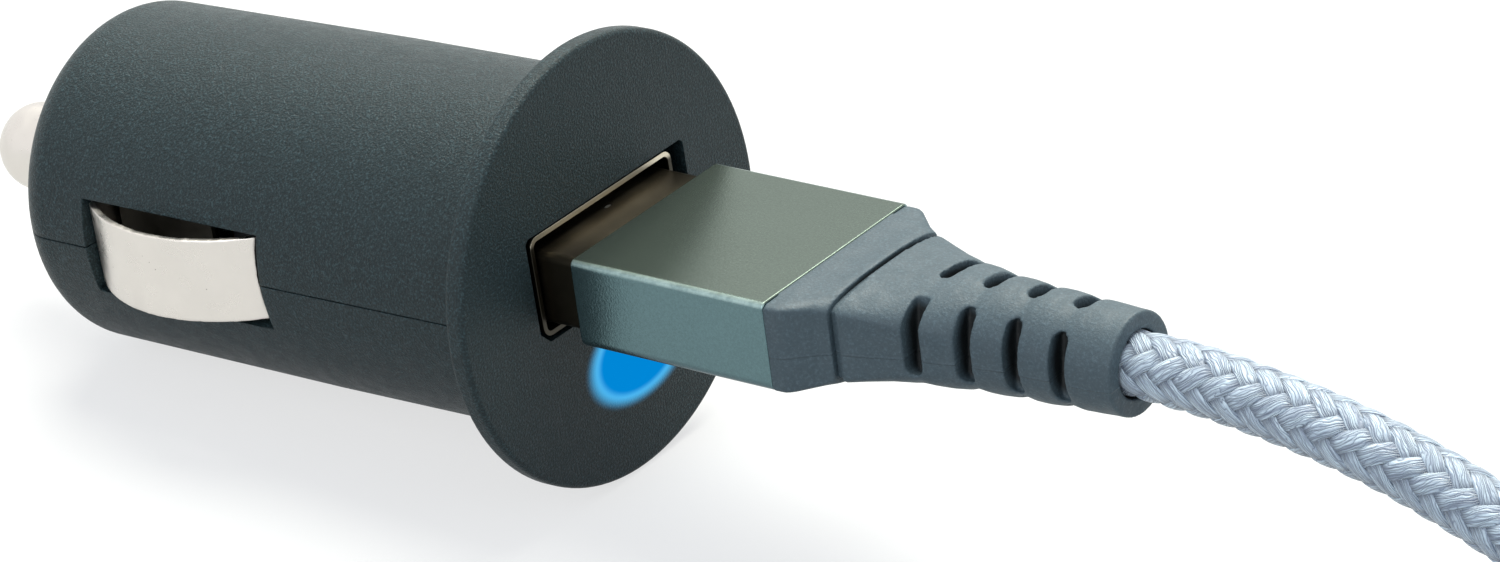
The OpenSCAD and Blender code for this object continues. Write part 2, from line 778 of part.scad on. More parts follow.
module strain_relief() {
    color("#566167") plugged() difference() {
        union() {
            loft([for (s = relief_sections) section_ring(s)]);
            block(plug_bare + plug_inside + 0.1, relief_start + 0.1, plug_w, plug_h);
        }
        for (i = [0:flex_count - 1]) {
            x = flex_first + i * flex_pitch;
            for (side = [-1, 1]) {
                translate([x, 0, 0]) rotate([-90 * side, 0, 0]) flex_slot(flex_half[i], form_at(x, 1));
                translate([x, 0, 0]) rotate([side > 0 ? 0 : 180, 0, 0])
                    flex_slot(flex_top_half[i], form_at(x, 2) + form_at(x, 3));
            }
        }
    }
}

// Cord

function unit(v) = v / norm(v);
function heading(path, i) = unit(path[min(i + 1, len(path) - 1)] - path[max(i - 1, 0)]);

// Round bar swept along a path, with one ring at each point
module sweep(path, r, sides, up) {
    loft([
        for (i = [0:len(path) - 1])
            let (t = heading(path, i), side = unit(cross(up, t)), lift = cross(t, side))
                [for (k = [0:sides - 1]) path[i] + r * (side * cos(360 * k / sides) + lift * sin(360 * k / sides))]
    ]);
}

module cord() {
    color("#96a2b4") sweep(cord_route, cord_r, cord_sides, [0, 0, 1]);
}

// Outline of the wound turns as [radius, z]: two rows of touching cords
module coil_outline() {
    for (row = [0:len(coil_columns) - 1]) translate([coil_in, coil_low + cord_r + row * cord_d]) {
        for (column = [0:coil_columns[row] - 1]) translate([column * cord_d, 0]) circle(cord_r, $fn = 12);
        translate([0, -cord_r / 2]) square([(coil_columns[row] - 1) * cord_d, cord_r]);
        if (row > 0) translate([0, -cord_d]) square([(coil_columns[row] - 1) * cord_d, cord_d]);
    }
}

module cord_coil() {
    color("#8e9bae") translate(coil_centre) rotate_extrude() coil_outline();
}

// Strap drawn tight over both rows
module cord_tie() {
    color("#23272b") translate(coil_centre) rotate_extrude(angle = tie_angle, start = tie_from) difference() {
        offset(delta = tie_t) hull() coil_outline();
        offset(delta = seat_gap) hull() coil_outline();
    }
}

module cord_tail() {
    color("#96a2b4") sweep(tail_route, cord_r, cord_sides, [0, 0, 1]);
}

// Small connector on the far end

module far_relief() {
    color("#566167") far_end() turned() difference() {
        polygon([
            [0, 0], [tail_relief_end_r, 0], [tail_relief_r, tail_relief_len], [0, tail_relief_len]
        ]);
        for (i = [0:2]) translate([tail_relief_end_r - 0.35, 2 + i * 2.4]) square([1, 0.8]);
    }
}

module far_housing() {
    color("#74817a") far_end()
        bar(tail_relief_len, tail_relief_len + tail_len) rounded_outline(tail_w, tail_h, housing_edge * 2);
}

module far_shell() {
    start = tail_relief_len + tail_len;
    color("#b9b9b4") far_end() {
        difference() {
            bar(start, start + tip_len) stadium_outline(tip_w, tip_h);
            bar(start + 0.6, start + tip_len + 1) stadium_outline(tip_w - 2 * tip_t, tip_h - 2 * tip_t);
        }
        block(start + 0.5, start + tip_len - 1, tip_w - 2.4, tip_plate);
    }
}

upper_shell();
lower_shell();
face_plate();
light_window();
nose_contact();
contact_spring();
spring_seat();
side_contact_left();
side_contact_right();
ground_strap_left();
ground_strap_right();
circuit_board();
socket_shell();
socket_tongue();
socket_contacts();
choke();
input_capacitor();
output_capacitor();
regulator_chip();
status_led();
plug_shell();
plug_insulator();
plug_contacts();
plug_housing();
strain_relief();
cord();
cord_coil();
cord_tie();
cord_tail();
far_relief();
far_housing();
far_shell();
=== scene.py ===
"""Car USB charger with a braided lead in its port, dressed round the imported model.

Pieces are modelled in millimetres in one of two frames and then set into the
row frame: the charger frame, with +X out of the port and its origin at the
middle of the flange's face, and the lead frame, along the plug's own axis.
"""

import json
import math

import bmesh
import bpy
import numpy as np
from bpy.props import FloatProperty, FloatVectorProperty, IntProperty, PointerProperty
from mathutils import Matrix, Vector, noise


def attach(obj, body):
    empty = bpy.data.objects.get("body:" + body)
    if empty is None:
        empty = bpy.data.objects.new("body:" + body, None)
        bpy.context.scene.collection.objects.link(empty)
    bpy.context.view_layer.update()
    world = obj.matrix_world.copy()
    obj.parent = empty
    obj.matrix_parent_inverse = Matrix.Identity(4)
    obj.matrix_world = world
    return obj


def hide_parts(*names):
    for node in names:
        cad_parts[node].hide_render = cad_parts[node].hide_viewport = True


bl_info = {
    "name": "Car USB charger plug",
    "version": (1, 0, 0),
    "blender": (4, 5, 0),
    "location": "View3D > Sidebar > Charger",
    "description": "Builds a car USB charger plug with its braided lead round a packed CAD model",
    "category": "Object",
}

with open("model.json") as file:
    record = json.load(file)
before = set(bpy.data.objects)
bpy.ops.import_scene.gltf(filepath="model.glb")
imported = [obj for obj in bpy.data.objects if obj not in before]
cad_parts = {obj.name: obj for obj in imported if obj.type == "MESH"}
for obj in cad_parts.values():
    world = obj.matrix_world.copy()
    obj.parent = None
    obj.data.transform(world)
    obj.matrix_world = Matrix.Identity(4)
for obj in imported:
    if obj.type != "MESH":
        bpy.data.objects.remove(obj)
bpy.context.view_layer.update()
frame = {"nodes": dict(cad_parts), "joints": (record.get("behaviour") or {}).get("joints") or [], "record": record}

MM = 0.001
TAU = 2 * math.pi

# Fixed places along the charger frame, in millimetres
FLANGE_T = 1.3
BARREL_END = -0.9
NOSE_X = -37.6
COLLAR_END = -39.6
PIN_TIP = -47.5
SHOULDER_X = -35.75
TAPER_X = -17.35
PARTING_GAP = 0.025
# Side contacts' slots: ends, near and far side, bottom and top
LEAF_SLOT = ((-31.75, -17.85), (8, 12.8), (-3, 3))
LEAF_MID = -25.0
LEAF_HALF_ANGLE = math.radians(38.5)
# Posts that join the half shells, and the rails under the board
POSTS = ((-33.9, 7.1), (-15.6, 7.6))
RAILS = ((-13.35, -5.65), (6.6, 8.95), (-5.3, -3.12))
PORT_Z = 1.0
WINDOW_Z = -6.1
# The light's patch on the face: its middle (y, z) and half sizes
GLOW = (1.0, -6.2, 3.9, 2.5)
# Receptacle: its ends, where its mouth starts to flare, its width and height, and the sheet
SOCKET_REAR = -13.2
SOCKET_FRONT = -0.05
FLARE_FROM = -1.6
SOCKET_SIZE = (13.1, 5.72)
SHEET = 0.3

# Fixed places along the lead frame
PLUG_TIP = -8.9
PLUG_END = 7.9
SLEEVE_X = (2.9, 16.3)
GROOVE_X = (19.4, 19.8)
BOOT_END = 36.1
BOOT_HOLE = 1.93
# Flex slots: place, half length and shift on the sides, half length and shift on the top
FLEX = [
    (23.9, 2.2, 0.17, 1.7, 0.85),
    (26.88, 2.1, 0.0, 1.42, 0.48),
    (29.8, 2.12, -0.15, 1.28, 0.33),
    (32.72, 2.0, -0.2, 1.18, 0.33),
]
FLEX_ROLL = math.radians(-9.5)
# Far connector: where its sleeve starts and ends, and its tip
FAR_SLEEVE_X = (10, 24)
FAR_TIP = 30.6

# The coil: its middle, outer radius, lowest height, turns and the step from one turn to the next
COIL_AT = (104, -28)
COIL_RADIUS = 28
COIL_LOW = 2.5
COIL_TURNS = 6.5
TURN_STEP = 3.8
# Turns at which the cord starts to step inward, up and outward, and the share of a turn a step takes
INWARD_AT = (0.8, 1.8, 2.8)
UP_AT = 3.35
OUTWARD_AT = (4.25, 5.25, 6.25)
STEP_SHARE = 0.15
# The cord from the boot down to the floor, and from the coil to the far connector
CORD_RUN = [
    (41.2, 0, 16.5), (45.4, 0, 16.6), (49.2, 0, 16.4), (53, 0, 16), (56.5, 0, 15.4),
    (60, 0, 14.5), (63.6, 0, 13.3), (68, 0, 11.4), (73, 0, 9), (78, 0, 6.8),
    (83, 0, 4.9), (88, 0, 3.5), (93, 0, 2.7), (98, 0, 2.5),
]
CORD_TAIL = [(98, -56.2, 5.7), (92, -56.7, 4.5), (86, -57.4, 3.3), (80, -58, 2.7)]
TAIL_END = Vector(CORD_TAIL[-1])
# Length of braid inside the boot, and the length along the cord with fully shaped strands
BRAID_INSIDE = 1.3
FULL_STRANDS = 502.4

CAMERA_AT = (199.629, -228.058, 172.326)
CAMERA_TURN = (38.911, 28.2986, -4.512)
CAMERA_LENS = 143.4035


def screen(red, green, blue):
    """A colour written in 0 to 255 screen values, as linear light."""
    def linear(c):
        c /= 255
        return c / 12.92 if c <= 0.04045 else ((c + 0.055) / 1.055) ** 2.4
    return (linear(red), linear(green), linear(blue))


def standing_frame(forward, origin):
    """Frame with +X along forward and +Y level, at an origin in metres, taking millimetres."""
    x = Vector(forward).normalized()
    y = Vector((0, 1, 0))
    z = x.cross(y)
    turn = Matrix((x, y, z)).transposed().to_4x4()
    return Matrix.Translation(origin) @ turn @ Matrix.Scale(MM, 4)


def charger_frame():
    """The charger frame, from the barrel's mount, whose middle lies half its length behind the flange."""
    mount = next(m for m in frame["record"]["mounts"] if m["name"] == "barrel")
    forward = -Vector(mount["axis"])
    reach = (mount["dims"]["length_mm"] / 2 + FLANGE_T) * MM
    return standing_frame(forward, Vector(mount["pos_m"]) + forward * reach)


def lead_frame():
    """The lead frame, along the pull joint's axis, which meets the port's axis halfway to the plug's tip."""
    pull = next(j for j in frame["joints"] if j["name"] == "lead_pull")
    axis = Vector(pull["axis"]).normalized()
    middle = PLUG_TIP / 2
    return standing_frame(axis, CHARGER @ Vector((middle, 0, PORT_Z)) - axis * middle * MM)


CHARGER = charger_frame()
LEAD = lead_frame()
FAR = Matrix.Translation(TAIL_END * MM) @ Matrix.Rotation(math.pi, 4, "Z") @ Matrix.Scale(MM, 4)
WORLD = Matrix.Scale(MM, 4)


# Sizes and colours a user may change


class ChargerSizes(bpy.types.PropertyGroup):
    """Sizes of the charger's body, in millimetres"""

    barrel_radius: FloatProperty(
        name="Barrel radius", description="Radius between the flange and the side contacts",
        default=10.4, min=9, max=11,
    )
    barrel_wall: FloatProperty(
        name="Barrel wall", description="Wall of the two half shells",
        default=1.5, min=1, max=2,
    )
    nose_round: FloatProperty(
        name="Nose rounding", description="Radius of the rounded nose edge",
        default=2.5, min=1, max=3.5,
    )
    parting_edge: FloatProperty(
        name="Parting edge", description="Rounding of the half shells' edges, which makes the fine line",
        default=0.06, min=0.02, max=0.2,
    )
    flange_radius: FloatProperty(
        name="Flange radius", description="Radius of the flange",
        default=13.25, min=12, max=14,
    )
    flange_edge: FloatProperty(
        name="Flange edge", description="Rounding of the flange's rim",
        default=0.35, min=0.1, max=0.6,
    )
    window_radius: FloatProperty(
        name="Window radius", description="Radius of the light window",
        default=2.5, min=1.5, max=3,
    )
    pin_radius: FloatProperty(
        name="Centre contact radius", description="Radius of the sprung centre contact",
        default=2.75, min=2, max=3,
    )
    leaf_width: FloatProperty(
        name="Side contact width", description="Width of a side contact's strip",
        default=5.2, min=4, max=5.6,
    )
    leaf_sheet: FloatProperty(
        name="Side contact sheet", description="Sheet thickness of a side contact",
        default=0.4, min=0.2, max=0.6,
    )
    leaf_bow: FloatProperty(
        name="Side contact bow", description="Radius to which a side contact is bowed",
        default=10.6, min=9, max=12,
    )
    leaf_crest: FloatProperty(
        name="Side contact crest", description="How far a side contact's crest stands from the axis",
        default=11.75, min=11, max=12.5,
    )


class LeadSizes(bpy.types.PropertyGroup):
    """Sizes of the lead, in millimetres"""

    plug_width: FloatProperty(
        name="Plug width", description="Width of the plug's metal shell",
        default=12.0, min=11.5, max=12.5,
    )
    plug_height: FloatProperty(
        name="Plug height", description="Height of the plug's metal shell",
        default=4.5, min=4, max=5,
    )
    sleeve_width: FloatProperty(
        name="Sleeve width", description="Width of the aluminium sleeve",
        default=13.7, min=13, max=15,
    )
    sleeve_height: FloatProperty(
        name="Sleeve height", description="Height of the aluminium sleeve",
        default=5.5, min=5, max=7,
    )
    sleeve_edge: FloatProperty(
        name="Sleeve edge", description="Rounding of the sleeve's long edges",
        default=0.4, min=0.1, max=1,
    )
    flex_width: FloatProperty(
        name="Flex slot width", description="Width of a flex slot in the boot",
        default=1.0, min=0.5, max=1.3,
    )
    flex_depth: FloatProperty(
        name="Flex slot depth", description="Depth of a flex slot",
        default=1.3, min=0.4, max=1.4,
    )
    cord_diameter: FloatProperty(
        name="Cord diameter", description="Diameter over the braid",
        default=3.8, min=3, max=5,
    )
    braid_lay: FloatProperty(
        name="Braid lay", description="Length in which one strand goes once round",
        default=12.8, min=8, max=20,
    )
    braid_carriers: IntProperty(
        name="Strands each way", description="Strands that wind each way round the cord",
        default=8, min=4, max=12,
    )


COLOUR = {"subtype": "COLOR", "size": 3, "min": 0, "max": 1}


class ChargerColours(bpy.types.PropertyGroup):
    """Colours of the finishes, as linear light"""

    plastic: FloatVectorProperty(
        name="Plastic", description="Moulded body of the charger",
        default=screen(37, 50, 53), **COLOUR,
    )
    glow: FloatVectorProperty(
        name="Light", description="Middle of the lit window",
        default=screen(0, 135, 215), **COLOUR,
    )
    halo: FloatVectorProperty(
        name="Halo", description="Rim of the lit window and its glow",
        default=screen(78, 184, 242), **COLOUR,
    )
    nickel: FloatVectorProperty(
        name="Contacts", description="Nickel of the centre and side contacts",
        default=screen(230, 225, 219), **COLOUR,
    )
    sleeve: FloatVectorProperty(
        name="Sleeve", description="Anodised aluminium of the plug's sleeve",
        default=screen(94, 112, 110), **COLOUR,
    )
    rubber: FloatVectorProperty(
        name="Boot", description="Satin rubber of the strain relief",
        default=screen(72, 87, 95), **COLOUR,
    )
    braid: FloatVectorProperty(
        name="Braid", description="Braided jacket of the cord",
        default=screen(201, 216, 243), **COLOUR,
    )


# Mesh work


def arc(centre_x, centre_r, radius, start, end, steps):
    """Points (x, r) on an arc, whose angles run from straight out toward +X."""
    angles = [math.radians(start + (end - start) * i / steps) for i in range(steps + 1)]
    return [(centre_x + radius * math.sin(a), centre_r + radius * math.cos(a)) for a in angles]


def add_block(bm, low, high):
    """A box between two corners."""
    low, high = Vector(low), Vector(high)
    verts = bmesh.ops.create_cube(bm, size=1)["verts"]
    bmesh.ops.scale(bm, vec=high - low, verts=verts)
    bmesh.ops.translate(bm, vec=(low + high) / 2, verts=verts)
    return verts


def add_pair(bm, x, y, z):
    """Two like boxes on both sides of the axis. Each range is (near, far), and y is measured outward."""
    for side in (-1, 1):
        low, high = sorted((side * y[0], side * y[1]))
        add_block(bm, (x[0], low, z[0]), (x[1], high, z[1]))


def add_drum(bm, x0, x1, radius, at=(0, 0)):
    """A round bar along X through (y, z)."""
    turn = Matrix.Translation(((x0 + x1) / 2, *at)) @ Matrix.Rotation(math.pi / 2, 4, "Y")
    bmesh.ops.create_cone(
        bm, cap_ends=True, segments=64, radius1=radius, radius2=radius, depth=x1 - x0, matrix=turn,
    )


def add_post(bm, at, radius, z0, z1):
    """A round post along Z through (x, y)."""
    bmesh.ops.create_cone(
        bm, cap_ends=True, segments=20, radius1=radius, radius2=radius, depth=z1 - z0,
        matrix=Matrix.Translation((*at, (z0 + z1) / 2)),
    )


def add_rounded_bar(bm, x0, x1, width, height, radius, steps=4, low_radius=None):
    """A bar along X with its four long edges rounded, the lower two by a radius of their own if given."""
    verts = add_block(bm, (x0, -width / 2, -height / 2), (x1, width / 2, height / 2))
    long_edges = [
        e for e in {e for v in verts for e in v.link_edges}
        if abs(e.verts[0].co.x - e.verts[1].co.x) > 1e-6
    ]
    low_edges = [e for e in long_edges if low_radius and e.verts[0].co.z < 0]
    high_edges = [e for e in long_edges if e not in low_edges]
    for edges, size in ((low_edges, low_radius), (high_edges, radius)):
        if edges:
            bmesh.ops.bevel(
                bm, geom=edges, offset=size, offset_type="OFFSET", segments=steps,
                profile=0.5, affect="EDGES", material=-1,
            )


def add_turned(bm, outline, steps):
    """A closed body turned round X from an outline of (x, r) points."""
    verts = [bm.verts.new((x, r, 0)) for x, r in outline]
    edges = [bm.edges.new(pair) for pair in zip(verts, verts[1:] + verts[:1])
             if pair[0].co.y > 1e-9 or pair[1].co.y > 1e-9]
    bmesh.ops.spin(
        bm, geom=verts + edges, cent=(0, 0, 0), axis=(1, 0, 0), dvec=(0, 0, 0),
        angle=TAU, steps=steps, use_merge=True,
    )
    bmesh.ops.remove_doubles(bm, verts=bm.verts, dist=1e-4)
    bmesh.ops.recalc_face_normals(bm, faces=bm.faces)


def add_swung(bm, points, centre, axis, angle, steps):
    """A solid swung through an angle from one flat outline."""
    verts = [bm.verts.new(p) for p in points]
    face = bm.faces.new(verts)
    bmesh.ops.spin(
        bm, geom=verts + list(face.edges) + [face], cent=centre, axis=axis, dvec=(0, 0, 0),
        angle=angle, steps=steps,
    )
    bmesh.ops.recalc_face_normals(bm, faces=bm.faces)


def edge_loop(bm, points):
    """A closed loop of new edges through points."""
    verts = [bm.verts.new(p) for p in points]
    return [bm.edges.new(pair) for pair in zip(verts, verts[1:] + verts[:1])]


def add_loft(bm, rings):
    """A closed body through rings of points, with flat ends."""
    loops = [edge_loop(bm, ring) for ring in rings]
    for near, far in zip(loops, loops[1:]):
        bmesh.ops.bridge_loops(bm, edges=near + far)
    for loop in (loops[0], loops[-1]):
        bmesh.ops.edgeloop_fill(bm, edges=loop)
    bmesh.ops.recalc_face_normals(bm, faces=bm.faces)


def draw_out(bm, edges, offset):
    """Draws a strip of faces out of the edges. Gives its far edges and its faces."""
    made = bmesh.ops.extrude_edge_only(bm, edges=edges)["geom"]
    verts = [v for v in made if isinstance(v, bmesh.types.BMVert)]
    bmesh.ops.translate(bm, vec=offset, verts=verts)
    far = [e for e in made if isinstance(e, bmesh.types.BMEdge) and all(v in verts for v in e.verts)]
    return far, [f for f in made if isinstance(f, bmesh.types.BMFace)]


def link(name, bm):
    """A new object from a bmesh."""
    mesh = bpy.data.meshes.new(name)
    bm.to_mesh(mesh)
    bm.free()
    piece = bpy.data.objects.new(name, mesh)
    bpy.context.scene.collection.objects.link(piece)
    return piece


def bake(piece):
    """Applies the piece's modifiers to its mesh."""
    graph = bpy.context.evaluated_depsgraph_get()
    mesh = bpy.data.meshes.new_from_object(piece.evaluated_get(graph))
    old = piece.data
    piece.modifiers.clear()
    piece.data = mesh
    bpy.data.meshes.remove(old)
    mesh.name = piece.name
    return piece


def make(name, add, *shape):
    """A new object from one shape."""
    bm = bmesh.new()
    add(bm, *shape)
    return link(name, bm)


def open_mesh(piece):
    """A bmesh of the piece, to be written back by close_mesh."""
    bm = bmesh.new()
    bm.from_mesh(piece.data)
    return bm


def close_mesh(piece, bm):
    """Writes a bmesh back into the piece."""
    bm.to_mesh(piece.data)
    bm.free()


def cut(piece, tool):
    """Cuts a bmesh tool out of the piece."""
    cutter = link("cutter", tool)
    change = piece.modifiers.new("Cut", "BOOLEAN")
    change.operation = "DIFFERENCE"
    change.solver = "EXACT"
    change.object = cutter
    bake(piece)
    mesh = cutter.data
    bpy.data.objects.remove(cutter)
    bpy.data.meshes.remove(mesh)


def cut_with(piece, add, *shape):
    """Cuts one shape out of the piece."""
    tool = bmesh.new()
    add(tool, *shape)
    cut(piece, tool)


def soften(piece, width, segments=2, angle=40):
    """Rounds the piece's edges."""
    change = piece.modifiers.new("Soft edges", "BEVEL")
    change.width = width
    change.segments = segments
    change.limit_method = "ANGLE"
    change.angle_limit = math.radians(angle)
    change.miter_outer = "MITER_ARC"
    return bake(piece)


def dress(piece, place, body, finish, nodes=(), sharp=35):
    """Sets a finished piece into the row frame, with its finish and its body."""
    piece.data.transform(place)
    piece.data.shade_smooth()
    if sharp:
        piece.data.set_sharp_from_angle(angle=math.radians(sharp))
        even = piece.modifiers.new("Even normals", "WEIGHTED_NORMAL")
        even.keep_sharp = True
        bake(piece)
    piece.data.materials.clear()
    piece.data.materials.append(finish)
    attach(piece, body)
    if nodes:
        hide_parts(*nodes)
    return piece


# Finishes


class Finish:
    """A material whose patterns are placed in millimetres in one of the frames."""

    def __init__(self, name, place=WORLD, **surface):
        self.material = bpy.data.materials.new(name)
        self.material.use_nodes = True
        self.tree = self.material.node_tree
        self.tree.nodes.clear()
        self.shader = self.tree.nodes.new("ShaderNodeBsdfPrincipled")
        output = self.tree.nodes.new("ShaderNodeOutputMaterial")
        self.tree.links.new(self.shader.outputs["BSDF"], output.inputs["Surface"])
        for setting, value in surface.items():
            self.set(setting.replace("_", " "), value)
        where, turn, _ = place.decompose()
        coordinates = self.tree.nodes.new("ShaderNodeTexCoord")
        self.place = self.node(
            "ShaderNodeMapping", coordinates.outputs["Object"], vector_type="TEXTURE",
            Location=where, Rotation=turn.to_euler(), Scale=(MM, MM, MM),
        )

    def feed(self, socket, value):
        """Links a socket to another, or sets its value."""
        if isinstance(value, bpy.types.NodeSocket):
            self.tree.links.new(value, socket)
        elif value is not None:
            if socket.type == "RGBA" and len(value) == 3:
                value = (*value, 1)
            socket.default_value = value

    def node(self, kind, *inputs, output=0, **settings):
        """A node. Inputs come in order or by their capitalised names."""
        made = self.tree.nodes.new(kind)
        for setting, value in settings.items():
            if setting[0].isupper():
                self.feed(made.inputs[setting.replace("_", " ")], value)
            else:
                setattr(made, setting, value)
        for socket, value in zip(made.inputs, inputs):
            self.feed(socket, value)
        return made.outputs[output]

    def set(self, name, value):
        self.feed(self.shader.inputs[name], value)

    def math(self, operation, *inputs):
        return self.node("ShaderNodeMath", *inputs, operation=operation)

    def stretch(self, scale, vector=None):
        """The pattern's place, scaled by axis."""
        return self.node("ShaderNodeMapping", vector or self.place, Scale=scale)

    def noise(self, size, detail=2.0, roughness=0.5, vector=None):
        """Cloudy pattern with features of about size millimetres."""
        return self.node(
            "ShaderNodeTexNoise", Vector=vector or self.place, Scale=1 / size,
            Detail=detail, Roughness=roughness,
        )

    def cells(self, size, **settings):
        """Distance to scattered points about size millimetres apart."""
        return self.node("ShaderNodeTexVoronoi", Vector=self.place, Scale=1 / size, **settings)

    def own(self, name):
        """A value stored on the piece's own points."""
        return self.node("ShaderNodeAttribute", attribute_name=name, output=2)

    def axes(self, vector=None):
        made = self.tree.nodes.new("ShaderNodeSeparateXYZ")
        self.feed(made.inputs[0], vector or self.place)
        return made.outputs

    def range(self, value, low, high, to_low=0.0, to_high=1.0):
        """A smooth step from to_low at low to to_high at high."""
        return self.node(
            "ShaderNodeMapRange", value, low, high, to_low, to_high, interpolation_type="SMOOTHSTEP",
        )

    def mix(self, factor, first, second):
        """The first colour at 0, the second at 1."""
        made = self.tree.nodes.new("ShaderNodeMix")
        made.data_type = "RGBA"
        self.feed(made.inputs[0], factor)
        self.feed(made.inputs[6], first)
        self.feed(made.inputs[7], second)
        return made.outputs[2]

    def bump(self, height, depth, normal=None):
        """Relief of depth millimetres."""
        return self.node(
            "ShaderNodeBump", Strength=1.0, Distance=depth * MM, Height=height, Normal=normal,
        )


def shade(colour, factor):
    """The colour made darker or brighter."""
    return tuple(min(1.0, c * factor) for c in colour)


def light_reach(f):
    """Distance from the middle of the light's patch, 1 at its rim."""
    _, y, z = f.axes()
    y = f.math("DIVIDE", f.math("SUBTRACT", y, GLOW[0]), GLOW[2])
    z = f.math("DIVIDE", f.math("SUBTRACT", z, GLOW[1]), GLOW[3])
    return f.math("SQRT", f.math("ADD", f.math("MULTIPLY", y, y), f.math("MULTIPLY", z, z)))


def light_colour(f, reach, colours):
    """Blue in the middle of the patch, paler toward its rim."""
    return f.mix(f.range(reach, 0.85, 1.03), tuple(colours.glow), tuple(colours.halo))


def plastic_finish(context, name="charger_plastic", glow=False):
    """Fine-grained moulded plastic, with specks of dust and, on the flange, the window's glow. The grain's
    brightest specks are partly its own tone and partly painted glints.
    """
    colours = context.scene.charger_colours
    base = tuple(colours.plastic)
    gloss = 0.24
    f = Finish(name, CHARGER, IOR=1.46, Specular_IOR_Level=gloss)
    speck = f.range(f.cells(2.6), 0.02, 0.035, 1.0, 0.0)
    fine = f.noise(0.14, 2, 0.7)
    tone = f.mix(f.noise(6, 3), shade(base, 0.88), shade(base, 1.1))
    tone = f.mix(f.range(fine, 0.32, 0.5, 0.6, 0.0), tone, shade(base, 0.35))
    # Bright grain specks: partly the grain's own tone, partly painted glints
    tone = f.mix(f.range(fine, 0.5, 0.7), tone, shade(base, 2.7))
    tone = f.mix(f.math("MULTIPLY", speck, 0.35), tone, shade(base, 4))
    f.set("Roughness", f.range(f.noise(0.9, 2), 0.3, 0.7, 0.33, 0.42))
    f.set("Normal", f.bump(f.noise(7, 1), 0.05, f.bump(fine, 0.09)))
    if glow:
        reach = light_reach(f)
        fade = f.math("POWER", f.range(reach, 0.97, 1.32, 1.0, 0.0), 1.4)
        lit = f.math("MULTIPLY", f.range(f.axes()[0], -0.5, -0.15), fade)
        tone = f.mix(lit, tone, (0, 0, 0))
        f.set("Emission Color", light_colour(f, reach, colours))
        f.set("Emission Strength", lit)
        f.set("Specular IOR Level", f.range(lit, 0, 1, gloss, 0.0))
    f.set("Base Color", tone)
    return f.material


def window_finish(context):
    """Blue lens lit from behind."""
    f = Finish("lit_window", CHARGER, Specular_IOR_Level=0.0, Emission_Strength=1.0)
    f.set("Base Color", f.mix(f.noise(1.2), (0.0, 0.0, 0.002), (0.0, 0.002, 0.006)))
    f.set("Roughness", f.range(f.noise(0.6, 2), 0.3, 0.7, 0.32, 0.44))
    f.set("Emission Color", light_colour(f, light_reach(f), context.scene.charger_colours))
    return f.material


def nickel_finish(context, name, worn=True):
    """Bright nickel plate with rolling marks, and fine pits that are deeper on a worn contact."""
    base = tuple(context.scene.charger_colours.nickel)
    stain, depth = (0.75, 0.02) if worn else (0.3, 0.006)
    f = Finish(name, CHARGER, Metallic=1.0)
    pits = f.range(f.cells(0.55), 0.03, 0.09, 1.0, 0.0)
    spots = f.math("MULTIPLY", pits, f.range(f.noise(2.4, 1), 0.52, 0.66))
    tone = f.mix(f.noise(3.5, 3), shade(base, 0.9), shade(base, 1.05))
    f.set("Base Color", f.mix(f.math("MULTIPLY", spots, stain), tone, screen(96, 84, 74)))
    f.set("Roughness", f.range(f.noise(1.1, 3), 0.25, 0.75, 0.25, 0.38))
    rolled = f.noise(0.25, 2, 0.5, f.stretch((0.08, 1, 1)))
    f.set("Normal", f.bump(spots, depth, f.bump(rolled, 0.0035, f.bump(f.noise(2.2, 1), 0.012))))
    return f.material


def sheet_finish(name, colour, place, rough, dark, shade_behind_lip=False, glint_and_dark_sides=False):
    """Plated sheet with stains and drawing marks.

    Behind a lip the sheet gets painted shade, and only the lip's top front keeps its colour. A painted glint is
    one bright spot, ringed dark, on a sheet that darkens toward its sides.
    """
    f = Finish(name, place, Metallic=1.0)
    tone = f.mix(f.range(f.noise(2.4, 2), 0.3, 0.7), shade(colour, dark), colour)
    if shade_behind_lip:
        # Painted shade inside the receptacle, all but the top front of its lip
        x, _, z = f.axes()
        unshaded = f.range(z, PORT_Z + 2.5, PORT_Z + 2.9, 0.05, 1.0)
        tone = f.mix(f.math("MULTIPLY", f.range(x, -0.32, -0.1), unshaded), shade(colour, 0.03), tone)
    if glint_and_dark_sides:
        aside = f.math("ABSOLUTE", f.axes()[1])
        tone = f.mix(f.range(aside, 1.5, 5.5, 0.0, 0.75), tone, shade(colour, 0.1))
        # Painted glint: one bright spot with a dark ring round it
        spot = f.node(
            "ShaderNodeVectorMath", f.stretch((1.6, 0.8, 1)), (-0.24, 0.33, 2.25),
            operation="DISTANCE", output="Value",
        )
        tone = f.mix(f.range(spot, 0.2, 0.34, 0.9, 0.0), tone, shade(colour, 0.03))
        tone = f.mix(f.range(spot, 0.16, 0.24, 1.0, 0.0), tone, (0.95, 0.94, 0.9))
    f.set("Base Color", tone)
    f.set("Roughness", f.range(f.noise(1.5, 1), 0.25, 0.75, rough - 0.02, rough + 0.03))
    drawn = f.noise(0.12, 2, 0.5, f.stretch((0.05, 1, 1)))
    f.set("Normal", f.bump(drawn, 0.002, f.bump(f.noise(1.2, 1), 0.006)))
    return f.material


